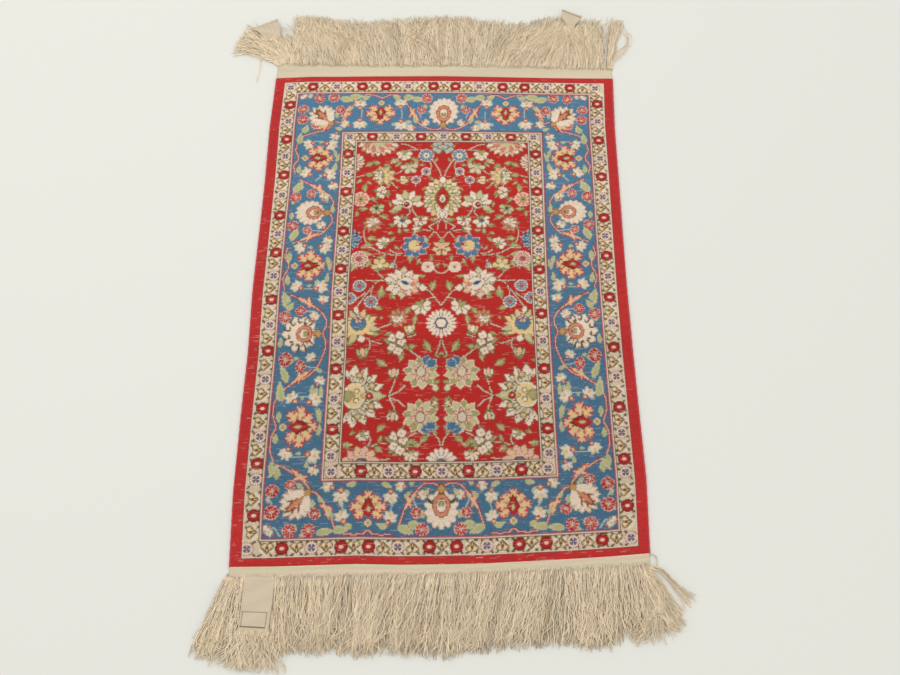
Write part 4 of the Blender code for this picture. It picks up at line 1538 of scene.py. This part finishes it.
def thread_material(name, colour, shade_range, roughness, twist):
    """Twisted thread: its shade comes from the piece's own attribute, its twist from a bump."""
    material, tree, shader = new_material(name)
    made = use_group(tree, TWISTED_THREAD, {
        "Dark": linear([value * part for value, part in zip(colour, SHADED_PARTS)]), "Light": linear(colour),
        "Place": tree.nodes.new("ShaderNodeTexCoord").outputs["Object"],
        "Shade": attribute(tree, "shade", "Fac"), "Range": shade_range, "Roughness": roughness,
    })
    tree.links.new(made.outputs["Colour"], shader.inputs["Base Color"])
    tree.links.new(made.outputs["Roughness"], shader.inputs["Roughness"])
    tree.links.new(bumped(tree, made.outputs["Grain"], 0.6, twist), shader.inputs["Normal"])
    shader.inputs["Sheen Weight"].default_value = 0.5
    return material


FRINGE_SILK = thread_material("fringe_silk", (250, 231, 198), 0.42, 0.6, 0.0004)
RED_CORD = thread_material("red_cord", (176, 34, 38), 0.3, 0.55, 0.0005)
print("thread materials made")


# %% Side cords
def swept_mesh(curve, name):
    """The mesh that a curve with a bevel makes."""
    drawn = place(curve, name + "_curve")
    mesh = bpy.data.meshes.new_from_object(drawn.evaluated_get(bpy.context.evaluated_depsgraph_get()))
    bpy.data.objects.remove(drawn)
    return mesh


def close_up(mesh, nearer, material):
    """Points nearer than a length joined, faces turned outward, smooth, and in the material given."""
    shape = bmesh.new()
    shape.from_mesh(mesh)
    bmesh.ops.remove_doubles(shape, verts=shape.verts, dist=nearer)
    bmesh.ops.recalc_face_normals(shape, faces=shape.faces)
    shape.to_mesh(mesh)
    shape.free()
    mesh.shade_smooth()
    mesh.materials.clear()
    mesh.materials.append(material)


def shade_points(mesh, values):
    """How light each point is, for the thread's material."""
    shade = mesh.attributes.new("shade", "FLOAT", "POINT")
    shade.data.foreach_set("value", values.astype(np.float32))


def side_cord(name, i):
    """A wrapped cord along one long side, thicker and thinner as it goes."""
    curve = bpy.data.curves.new(name, "CURVE")
    curve.dimensions = "3D"
    curve.bevel_depth = 1.0
    curve.bevel_resolution = 2
    curve.use_fill_caps = True
    j = np.linspace(0, ALONG, 293)
    x, y = rug_point(i, j)
    radius = (1.35 + 0.12 * np.sin(j / 1.7) + 0.1 * np.sin(j / 23 + i)) * MM
    spline = curve.splines.new("POLY")
    spline.points.add(len(j) - 1)
    spline.points.foreach_set("co", np.stack((x, y, radius + 0.35 * MM, np.ones_like(x)), 1).ravel())
    spline.points.foreach_set("radius", radius)
    mesh = swept_mesh(curve, name)
    close_up(mesh, 0.01 * MM, RED_CORD)
    shade_points(mesh, rng.uniform(0.5, 1.0, len(mesh.vertices)))
    print(name, len(mesh.polygons), "faces")
    return place(mesh, name)


left_cord = side_cord("left_side_cord", 0.4)
right_cord = side_cord("right_side_cord", ACROSS - 0.4)

# %% [markdown]
# ## The woven ends
#
# Past the last knots the warps are woven plain into a web that keeps the knots from working
# loose. It has no pile, so it drops from the height of the knots to the floor. Three woven
# labels lie on the fringes. Their face is plain, with a thin frame on the near one, and a
# painted shadow line under the fold of each far one.

# %% Woven cloth material
def web_material(name, colour, threads):
    """Undyed silk in plain weave."""
    material, tree, shader = new_material(name)
    dye = tree.nodes.new("ShaderNodeMix")
    dye.data_type = "RGBA"
    dye.blend_type = "MULTIPLY"
    dye.inputs["Factor"].default_value = 1.0
    dye.inputs["B"].default_value = linear(colour)
    tree.links.new(attribute(tree, "tint"), dye.inputs["A"])
    made = use_group(tree, PLAIN_WEAVE, {
        "Colour": dye.outputs["Result"], "Millimetres": map_socket(tree, "millimetres"), "Threads": threads,
    })
    tree.links.new(made.outputs["Colour"], shader.inputs["Base Color"])
    tree.links.new(bumped(tree, made.outputs["Height"], 0.6, 0.0003), shader.inputs["Normal"])
    shader.inputs["Roughness"].default_value = 0.7
    shader.inputs["Sheen Weight"].default_value = 0.2
    return material


WEB_SILK = web_material("web_silk", (217, 201, 171), 1.1)
LABEL_SILK = web_material("label_silk", (213, 196, 169), 1.6)


def cloth_strip(name, columns, rows, position, tint, material, thick):
    """A thin woven strip. position gives x, y and z for shares across and along."""
    shape = bmesh.new()
    bmesh.ops.create_grid(
        shape, x_segments=columns, y_segments=rows, size=0.5, matrix=Matrix.Translation((0.5, 0.5, 0)),
    )
    mesh = mesh_from(shape, name)
    share = vertex_places(mesh)
    points = position(share[:, 0], share[:, 1]).astype(np.float32)
    move(mesh, *points.T)
    add_map(mesh, "millimetres", points, np.zeros(2), MM)
    colours = np.ones((len(share), 4), np.float32)
    colours[:, :3] = tint(share[:, 0], share[:, 1])
    layer = mesh.attributes.new("tint", "FLOAT_COLOR", "POINT")
    layer.data.foreach_set("color", colours.ravel())
    mesh.shade_smooth()
    mesh.materials.append(material)
    piece = place(mesh, name)
    solid = piece.modifiers.new("thickness", "SOLIDIFY")
    solid.thickness = thick
    solid.offset = -1.0
    print(name, len(mesh.polygons), "faces before its thickness")
    return piece


print("woven materials made")

# %% Webs
WEB_THICK = 0.6 * MM
WEB_REST = 1.05                 # millimetres from the floor to the web's top


def web(name, corner_row, knot_edge_y, free_edge_y, reach):
    """A web between the last row of knots and its free edge, about reach millimetres away."""
    def position(across, along):
        x = side_x(across * ACROSS, corner_row) * MM
        start = np.interp(across, END_SHARE, knot_edge_y)
        end = np.interp(across, END_SHARE, free_edge_y)
        ragged = 0.35 * np.sin(across * 97) + 0.3 * np.sin(across * 211)
        y = (start + (end - start) * along + ragged * along) * MM
        run = np.abs(end - start) * along
        drop = (BACK_HEIGHT - (WEB_REST + 0.2) * MM) * np.exp(-(run / 4.5) ** 2)
        bumps = 0.1 * np.sin(across * 61) + 0.08 * np.sin(across * 143 + along * 3)
        sink = 0.3 * MM * along ** 2
        return np.stack((x, y, WEB_REST * MM + drop + bumps * MM * along - sink), 1)

    def tint(across, along):
        run = along * reach
        rows = 1 + 0.035 * np.sin(run * 4.1 + across * 9) + 0.025 * np.sin(across * 40 + run)
        green = 0.5 + 0.5 * np.sin(run * 0.55 + 1.6 * np.sin(across * 5) - 1.2)
        colour = 1 + (green[:, None] - 0.5) * np.array((-0.14, 0.04, -0.06))
        return rows[:, None] * colour

    piece = cloth_strip(name, 200, 10, position, tint, WEB_SILK, WEB_THICK)
    if corner_row == 0:
        piece.data.flip_normals()
    return piece


near_web = web("near_web", 0, NEAR_Y, NEAR_WEB_Y, 12)
far_web = web("far_web", ALONG, FAR_Y, FAR_WEB_Y, 30)

# %% Labels
# x, y, width in millimetres, and the turn in degrees from straight out towards the left
FAR_LEFT_LABEL = (
    (-236, 386, 10, 10), (-246, 402, 9, 28), (-257, 420, 11, 22), (-268, 436, 31, -6), (-272, 446, 37, 12),
    (-279, 457, 43, 29),
)
FAR_RIGHT_LABEL = (
    (203, 387, 10, 0), (202, 410, 9, -5), (198, 438, 9, -15), (191, 462, 13, -33), (188, 474, 25, -34),
    (194, 489, 34, -24),
)
NEAR_LEFT_LABEL = ((-211, -379, 35, 0), (-211.5, -410, 35, 1), (-213.5, -441, 34.5, 3))
NO_FOLD_SHADOW = 2.0                   # a share past the label's end, so no painted fold shadow shows


def label(name, rows, side, lift, fold_shadow, cells, frame_share=None):
    """A woven label on the fringe, with a painted fold shadow line and a woven frame, each at shares along
    it.
    """
    rows = np.array(rows, float)
    shares = np.linspace(0, 1, len(rows))

    def position(across, along):
        x, y, width, turn = (np.interp(along, shares, column) for column in rows.T)
        turn = np.radians(turn)
        reach = (across - 0.5) * width
        z = lift(across, along)
        return np.stack((x + reach * np.cos(turn), y + reach * np.sin(turn) * side, z), 1) * MM

    def tint(across, along):
        base = np.ones((len(across), 3)) * (1 + 0.03 * np.sin(along * 17 + across * 5))[:, None]
        base *= (1 + 0.05 * np.sin(across * 90))[:, None]
        # painted shadow: a thin dark line across the label, under its fold
        base[np.abs(along - fold_shadow) < 0.009] *= (0.42, 0.38, 0.34)
        if frame_share:
            low, high = frame_share
            edge_across = np.minimum(np.abs(across - 0.08), np.abs(across - 0.88)) < 0.016
            edge_along = np.minimum(np.abs(along - low), np.abs(along - high)) < 0.011
            inside = (across > 0.06) & (across < 0.90) & (along > low - 0.011) & (along < high + 0.011)
            base[(edge_across | edge_along) & inside] = (0.3, 0.27, 0.2)
        return base

    piece = cloth_strip(name, *cells, position, tint, LABEL_SILK, 0.5 * MM)
    if side < 0:
        piece.data.flip_normals()
    return piece


def near_lift(across, along):
    """The near label lies almost flat on the threads under it."""
    return 1.7 + 1.9 * np.clip(along * 2.5, 0, 1) + 0.3 * np.sin(across * 5 + along * 6)


def left_lift(across, along):
    """The far left label climbs over its bunch and folds near its end."""
    fold = 1.2 * np.exp(-((along - 0.93) / 0.03) ** 2)
    climb = np.clip((along - 0.42) / 0.2, 0, 1)
    return 1.5 + 4.3 * climb + 0.6 * np.sin(across * 4 + along * 9) * climb + fold


def right_lift(across, along):
    """The far right label curls up at its end."""
    curl = 3.0 * np.clip((along - 0.8) / 0.2, 0, 1) ** 2 * (0.5 + 0.5 * across)
    climb = np.clip((along - 0.52) / 0.2, 0, 1)
    return 1.5 + 5.4 * climb + curl + 0.5 * np.sin(across * 4 + along * 8) * climb


near_label = label("near_label", NEAR_LEFT_LABEL, -1, near_lift, NO_FOLD_SHADOW, (50, 80), (0.65, 0.92))
left_label = label("far_left_label", FAR_LEFT_LABEL, 1, left_lift, 0.955, (20, 60))
right_label = label("far_right_label", FAR_RIGHT_LABEL, 1, right_lift, 0.965, (20, 60))

# %% [markdown]
# ## The fringes
#
# The warps run on past the web as a fringe. A fringe reads as real when its threads do four
# things: they are kinked from years in the weave, they dip under and over each other, they
# lean together in places, and no two end at the same spot. Each thread starts on the web and
# aims at a tip read from a short table. Thick, straight lower threads fill the fringe, and
# finer upper ones lie loose on them. Where a bunch has been swept aside, a *lock* says
# the way it lies: a path, and how wide the bunch is along it. Then every thread is kinked.

# %% Fringe tables
# root x, tip x, tip y in millimetres
FAR_TIPS = np.array((
    (-236, -221, 478), (-222, -219, 480), (-200, -207, 482), (-170, -180, 482), (-150, -165, 478),
    (-122, -126, 478), (-110, -104, 476), (-80, -92, 477), (-50, -54, 483), (-20, -18, 487), (10, 6, 488),
    (30, 30, 489), (46, 48, 481), (60, 66, 484), (80, 92, 482), (100, 120, 478), (116, 140, 490),
    (130, 152, 493), (150, 170, 492), (170, 180, 488), (186, 190, 474), (200, 206, 472), (214, 218, 486),
    (224, 227, 487), (233, 231, 480), (240, 235, 472),
))
NEAR_TIPS = np.array((
    (-240, -250, -466), (-236, -246, -474), (-190, -188, -475), (-170, -176, -470), (-150, -146, -469),
    (-120, -128, -468), (-100, -94, -472), (-70, -76, -470), (-50, -44, -469), (-20, -26, -470),
    (0, -2, -474), (30, 34, -468), (60, 54, -466), (90, 96, -462), (120, 114, -460), (150, 154, -459),
    (175, 170, -462), (188, 186, -461), (197, 196, -458), (206, 207, -453), (214, 219, -448),
    (222, 229, -440), (232, 243, -442), (240, 254, -440),
))
# root x, and how far the upper threads there are swept to the right
FAR_SWEEP = np.array((
    (-236, 2), (-222, -2), (-200, -14), (-190, -22), (-150, -30), (-105, -40), (-88, -24), (-70, 4),
    (-40, -8), (-20, 6), (10, -4), (40, 6), (60, 20), (72, 44), (105, 46), (140, 32), (175, 20), (200, 4),
    (240, 0),
))
NEAR_SWEEP = np.array((
    (-240, 0), (-190, -8), (-150, 8), (-120, -14), (-90, -6), (-60, -26), (-20, -30), (10, -4), (40, -26),
    (90, -34), (130, -26), (160, 8), (190, -14), (215, 10), (240, 14),
))
# number of threads, thickness, height at the root, highest lift, and the path: x, y, half width; in
# millimetres, but for the number and the thickness, which is a share of the threads' own
FAR_LOCKS = (
    (100, 1.0, 0, 3.6, ((-243, 381, 7), (-258, 394, 9), (-280, 410, 12), (-298, 422, 16), (-317, 428, 19))),
    (85, 1.0, 0, 4.6, ((-241, 381, 5), (-247, 400, 8), (-258, 420, 13), (-270, 436, 15), (-282, 440, 15))),
    (30, 0.9, 0, 5.0, ((-236, 384, 5), (-244, 404, 6), (-254, 420, 7), (-262, 430, 9), (-270, 434, 11))),
    (60, 0.9, 0, 3.8, ((246, 381, 4), (250, 410, 4), (254, 440, 5.5), (261, 464, 7.5), (268, 484, 10))),
    (5, 0.6, 0, 1.6, ((252, 404, 2), (266, 422, 3), (282, 434, 4), (284, 454, 3), (270, 468, 5))),
    (5, 0.6, 0, 1.6, ((250, 396, 2), (262, 406, 3), (276, 420, 3), (281, 440, 3), (276, 460, 4))),
    (60, 0.9, 0, 6.2, ((204, 384, 4), (202, 415, 6), (199, 440, 9), (192, 460, 9), (190, 468, 9))),
    (3, 0.6, 0, 1.0, ((-262, 402, 3), (-281, 394, 2), (-279, 370, 2), (-283, 344, 2))),
    (50, 1.0, 0, 3.2, ((-236, 381, 5), (-237, 396, 9), (-242, 411, 12), (-248, 423, 13), (-256, 432, 12))),
    # tangles, where loose threads lie across the others
    (22, 0.8, 2.4, 4.2, ((-196, 452, 9), (-178, 444, 9), (-160, 432, 9), (-146, 416, 10), (-134, 400, 10))),
    (18, 0.8, 2.4, 4.2, ((-160, 392, 8), (-158, 412, 9), (-148, 428, 10), (-130, 440, 10), (-112, 448, 10))),
    (16, 0.8, 2.4, 4.2, ((-96, 462, 8), (-88, 446, 8), (-76, 432, 8), (-68, 412, 8), (-70, 396, 8))),
    (14, 0.8, 2.4, 4.2, ((-34, 466, 8), (-42, 448, 7), (-54, 436, 7), (-62, 420, 8), (-62, 400, 8))),
    (16, 0.8, 2.4, 4.0, ((-14, 388, 6), (-20, 408, 8), (-34, 428, 9), (-54, 444, 9), (-76, 456, 8))),
)
NEAR_LOCKS = (
    (110, 1.0, 0, 3.8, ((-242, -376, 6), (-249, -400, 7), (-257, -430, 9), (-263, -452, 11),
                        (-266, -472, 11))),
    (5, 0.7, 0, 3.8, ((-248, -384, 3), (-258, -410, 3), (-268, -436, 4), (-280, -452, 4))),
    (120, 1.0, 2.2, 3.2, ((-212, -437, 17), (-213, -450, 19), (-214, -466, 23), (-216, -484, 26))),
    (22, 0.8, 0, 3.0, ((240, -361, 2), (256, -366, 2.5), (268, -381, 3), (279, -394, 4), (291, -408, 8))),
    (10, 0.8, 0, 3.0, ((240, -363, 3), (254, -380, 3), (261, -398, 3), (270, -411, 4), (279, -419, 6))),
    (26, 0.85, 0, 4.8, ((228, -366, 5), (245, -376, 6), (256, -392, 5), (255, -408, 5), (244, -417, 5),
                        (230, -416, 7))),
    (34, 0.85, 0, 3.8, ((234, -362, 5), (245, -384, 8), (251, -404, 9), (262, -424, 9), (274, -437, 11))),
    (34, 0.85, 0, 3.4, ((234, -364, 6), (240, -390, 8), (243, -412, 8), (243, -432, 10), (238, -451, 13))),
    (20, 0.8, 0, 3.0, ((246, -398, 6), (241, -422, 6), (230, -438, 7), (214, -446, 9))),
    (4, 0.5, 0, 1.6, ((244, -348, 1), (252, -350, 1), (253, -360, 1), (246, -366, 1))),
)
# where a label lies on the threads: low x, high x, low y, high y in millimetres
UNDER_LABEL = (-230, -192, -441, -384)
print(len(FAR_LOCKS), "locks at the far end,", len(NEAR_LOCKS), "at the near end")

# %% Paths of the threads
THREAD_POINTS = 19
LOWER_POINTS = 7
WEB_LEFT = -251                 # millimetres
WEB_WIDTH = 499                 # millimetres
STRAY = 0.74                    # the share of upper threads that stay in their clump
WILD = 0.965                    # the share that is not swept far aside


def roots(count, tips, web_edge, source, deepest):
    """Where the threads of a run start, x and y, and the way each has to go to its tip."""
    root_x = np.linspace(tips[0, 0], tips[-1, 0], count) + source.normal(0, 0.6, count)
    root_y = np.interp((root_x - WEB_LEFT) / WEB_WIDTH, END_SHARE, web_edge)
    root_y = root_y - np.sign(root_y) * source.uniform(1.5, deepest, count)
    aim_x = np.interp(root_x, tips[:, 0], tips[:, 1]) - root_x
    aim_y = np.interp(root_x, tips[:, 0], tips[:, 2]) - root_y
    return root_x, root_y, aim_x, aim_y


print("threads can be rooted")

# %% Lower threads
def matted(count, tips, web_edge, source):
    """The lower threads: straight, close together and a little short."""
    t = np.linspace(0, 1, LOWER_POINTS)[None, :]
    root_x, root_y, aim_x, aim_y = roots(count, tips, web_edge, source, 5.0)
    aim_x = aim_x + source.normal(0, 3.0, count)
    aim_y = aim_y * source.uniform(0.80, 0.96, count)
    x = root_x[:, None] + aim_x[:, None] * t
    y = root_y[:, None] + aim_y[:, None] * t
    return x, y, source.uniform(-0.1, 0.3, count), np.zeros(count), source.uniform(0.85, 1.1, count)


print("lower threads can be laid")

# %% Upper threads
def combed(count, tips, sweep, web_edge, curl, source):
    """The upper threads: each aims at a tip from the table, and is swept, waved and hooked."""
    t = np.linspace(0, 1, THREAD_POINTS)[None, :]
    root_x, root_y, aim_x, aim_y = roots(count, tips, web_edge, source, 7.5)
    side = np.sign(root_y)[:, None]
    clump = ((root_x - root_x.min() + 3 * np.sin(root_x / 9)) / 9 + 1).astype(int)
    clumps = clump.max() + 1
    kind = source.random(count)
    stray = kind > STRAY
    wild = kind > WILD
    lean = source.normal(0, 2.0, clumps)[clump] + source.normal(0, 4.0, count)
    lean = np.where(stray, source.normal(0, 12, count), lean)
    lean = np.where(wild, source.normal(0, 26, count), lean)
    lean = lean + np.interp(root_x, sweep[:, 0], sweep[:, 1]) * source.uniform(0.35, 1.15, count)
    length = source.uniform(0.93, 1.02, count) - 0.16 * (source.random(count) < 0.2)
    sway = (source.normal(0, 1.2, clumps)[clump] + source.normal(0, 2.2, count))[:, None]
    phase = (source.uniform(0, 2 * np.pi, clumps)[clump] + source.normal(0, 1.8, count))[:, None]
    waves = source.uniform(0.8, 3.2, count)[:, None]
    wrinkle = source.normal(0, 1.2, count)[:, None]
    hook = source.normal(0, curl, count)[:, None]
    crook = source.normal(0, 0.45 * curl, count)[:, None]
    x = root_x[:, None] + (aim_x * length + lean)[:, None] * t ** 1.1
    x = x + sway * (np.sin(2 * np.pi * waves * t + phase) - np.sin(phase)) * t ** 0.6
    x = x + hook * t ** 3 + wrinkle * np.sin(2 * np.pi * (waves + 3) * t + phase) * t
    x = x + crook * np.sin(2 * np.pi * waves * t) * t ** 3
    length = length - np.abs(lean / 90) ** 2 * 0.5
    y = root_y[:, None] + (aim_y * length)[:, None] * t ** 0.95
    y = y - side * (np.abs(hook) + np.abs(crook)) * 0.5 * t ** 4
    lift = np.where(stray, source.uniform(2.4, 3.8, count), source.uniform(0.6, 3.0, count))
    return x, y, lift, np.zeros(count), source.uniform(0.85, 1.15, count)


print("upper threads can be combed")

# %% Locks
def lock(count, thick, start, highest, path, source):
    """A bunch swept along a path."""
    t = np.linspace(0, 1, THREAD_POINTS)[None, :]
    path = np.array(path, float)
    stops = np.linspace(0, 1, len(path))
    share = t * source.uniform(0.84, 1.0, count)[:, None] + source.uniform(0, 0.03, count)[:, None]
    soft = np.concatenate((path[:1], (path[:-2] + 6 * path[1:-1] + path[2:]) / 8, path[-1:]))
    x, y, half = (np.interp(share, stops, column) for column in soft.T)
    heading_x, heading_y = (np.interp(share, stops, np.gradient(column)) for column in soft.T[:2])
    heading = np.hypot(heading_x, heading_y)
    place_across = source.uniform(-1, 1, count)[:, None]
    wave = np.sin(source.uniform(4, 9, count)[:, None] * t + source.uniform(0, 6, count)[:, None])
    drift = source.normal(0, 0.5, count)[:, None] * t + 0.22 * wave
    across = (place_across + drift) * half
    lift = 0.2 + (highest - 0.2) * source.random(count)
    own_thick = thick * source.uniform(0.85, 1.15, count)
    x = x - across * heading_y / heading
    y = y + across * heading_x / heading
    return x, y, lift, np.full(count, start), own_thick


print("locks can be laid")

# %% Kinks and heights
# heights of a thread's middle over the floor, in millimetres
ROOT_HEIGHT = 0.6
NEXT_HEIGHTS = (0.9, 1.3)       # of the point after the root, lowest and highest
LOWEST = 1.15                   # of the points after that
MEAN_HEIGHT = 1.2               # before the thread's own lift and kinks
LABEL_HEIGHT = 1.1              # the label presses the threads down to this, or to the lowest height
HIGHEST_LOWER = 2.8             # the lower threads stay under the upper ones
KINK_STEP = 4.7                 # millimetres between points, where a kink is as wide as it is drawn


def kinked(x, y, lift, start, source, painted_hollow_shade=None):
    """Threads by points by x, y, z in metres, after every thread is kinked and given its height."""
    t = np.linspace(0, 1, x.shape[1])[None, :]
    step = np.hypot(np.diff(x, axis=1), np.diff(y, axis=1)).mean(1)[:, None] / KINK_STEP
    kinks = source.normal(0, 1, (3, *x.shape))
    kinks[:, :, 1:] = 0.75 * kinks[:, :, 1:] + 0.5 * kinks[:, :, :-1]
    grow = np.clip(t * 6, 0.15, 1) * step
    x = x + 0.72 * kinks[0] * grow
    y = y + 0.5 * kinks[1] * grow
    rise = np.clip(t * 5, 0.0, 1) * (1 - 0.5 * t ** 4)
    z = MEAN_HEIGHT + lift[:, None] * rise + start[:, None] * (1 - t) + 0.5 * kinks[2] * grow
    z[:, 0] = ROOT_HEIGHT + start
    z[:, 1] = np.clip(z[:, 1], NEXT_HEIGHTS[0] + start, NEXT_HEIGHTS[1] + start)
    if painted_hollow_shade:
        low_x, high_x, low_y, high_y = painted_hollow_shade
        inside = (x > low_x) & (x < high_x) & (y > low_y) & (y < high_y) & (start[:, None] == 0)
        z = np.where(inside, np.minimum(z, LABEL_HEIGHT), z)
    z[:, 2:] = np.clip(z[:, 2:], LOWEST, None)
    return np.stack((x, y, z), 2) * MM


print("threads can be kinked")

# %% Fringes as paths
def fringe(count, tips, sweep, locks, web_edge, curl, seed, painted_hollow_shade=None):
    """The upper threads of one end, and how thick each is."""
    source = np.random.default_rng(seed)
    parts = [combed(count, tips, sweep, web_edge, curl, source)]
    parts += [lock(*one, source) for one in locks]
    x, y, lift, start, thick = (np.concatenate(column) for column in zip(*parts))
    return kinked(x, y, lift, start, source, painted_hollow_shade), thick


def lower_fringe(count, tips, web_edge, seed, painted_hollow_shade=None):
    """The lower threads of one end, and how thick each is."""
    source = np.random.default_rng(seed)
    x, y, lift, start, thick = matted(count, tips, web_edge, source)
    threads = kinked(x, y, lift, start, source, painted_hollow_shade)
    threads[:, :, 2] = np.minimum(threads[:, :, 2], HIGHEST_LOWER * MM)
    return threads, thick


print("paths ready")

# %% Threads as meshes
WIDTH_AT_ROOT = (0.0, 0.7)      # of the first two points, as a share of the thread's own
WIDTH_AT_TIP = 0.45


def thread_mesh(name, threads, own, thick, tones, seed):
    """Threads as one mesh: a curve with a spline for each, swept with a small triangle."""
    source = np.random.default_rng(seed)
    count, points, _ = threads.shape
    profile = bpy.data.curves.new("profile", "CURVE")
    corners = profile.splines.new("POLY")
    corners.points.add(2)
    angles = np.radians((90, 210, 330))
    ring = np.stack((np.cos(angles), np.sin(angles), np.zeros(3), np.ones(3)), 1)
    corners.points.foreach_set("co", ring.ravel())
    corners.use_cyclic_u = True
    profile_object = place(profile, "profile")
    curve = bpy.data.curves.new(name, "CURVE")
    curve.dimensions = "3D"
    curve.bevel_mode = "OBJECT"
    curve.bevel_object = profile_object
    curve.use_fill_caps = True
    ends = np.ones(points)
    ends[:2] = WIDTH_AT_ROOT
    ends[-1] = WIDTH_AT_TIP
    for thread, width in zip(threads, own):
        spline = curve.splines.new("POLY")
        spline.points.add(points - 1)
        spline.points.foreach_set("co", np.concatenate((thread, np.ones((points, 1))), 1).ravel())
        spline.points.foreach_set("radius", thick / 2 * width * ends)
    mesh = swept_mesh(curve, name)
    bpy.data.objects.remove(profile_object)
    shade_points(mesh, np.repeat(source.uniform(*tones, count), len(mesh.vertices) // count))
    close_up(mesh, 0.001 * MM, FRINGE_SILK)
    triangles = sum(len(face.vertices) - 2 for face in mesh.polygons)
    print(name, count, "threads,", triangles, "triangles")
    return place(mesh, name)


print("threads can be swept")

# %% The fringes
UPPER_THREADS = 1150
LOWER_THREADS = 850
UPPER_THICK = 1.2 * MM
LOWER_THICK = 1.6 * MM
# how dark or light the threads are: the lower ones lie in the shade of the upper ones
FAR_UPPER_TONES = (0.12, 1.14)
NEAR_UPPER_TONES = (0.0, 1.0)
FAR_LOWER_TONES = (0.0, 0.7)
NEAR_LOWER_TONES = (-0.6, 0.15)
far_fringe = thread_mesh(
    "far_fringe_threads", *fringe(UPPER_THREADS, FAR_TIPS, FAR_SWEEP, FAR_LOCKS, FAR_WEB_Y, 6, 21),
    UPPER_THICK, FAR_UPPER_TONES, 22,
)
near_fringe = thread_mesh(
    "near_fringe_threads",
    *fringe(UPPER_THREADS, NEAR_TIPS, NEAR_SWEEP, NEAR_LOCKS, NEAR_WEB_Y, 9, 34, UNDER_LABEL),
    UPPER_THICK, NEAR_UPPER_TONES, 35,
)
far_lower = thread_mesh(
    "far_fringe_lower_threads", *lower_fringe(LOWER_THREADS, FAR_TIPS, FAR_WEB_Y, 23),
    LOWER_THICK, FAR_LOWER_TONES, 24,
)
near_lower = thread_mesh(
    "near_fringe_lower_threads", *lower_fringe(LOWER_THREADS, NEAR_TIPS, NEAR_WEB_Y, 36, UNDER_LABEL),
    LOWER_THICK, NEAR_LOWER_TONES, 37,
)

# %% [markdown]
# ## The rug's one body
#
# Each piece rides on the rug's one body. The solids of the knotted panel and of both fringes
# are hidden: the pile slab, the knots' bands and the side cords take the panel's place, and
# each web with its fringe takes the place of one end.

# %% Rides, and the solids hidden
silk_pieces = (pile, edging, blue_border, red_field, left_cord, right_cord)
bare_pieces = (near_web, far_web, near_label, left_label, right_label, far_fringe, near_fringe, far_lower,
               near_lower)
for piece in silk_pieces:
    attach(piece, "root")
for piece in bare_pieces:
    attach(piece, "root")
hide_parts("knotted_panel")
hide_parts("fringe_far")
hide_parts("fringe_near")
print(len(silk_pieces) + len(bare_pieces), "pieces ride on the rug")
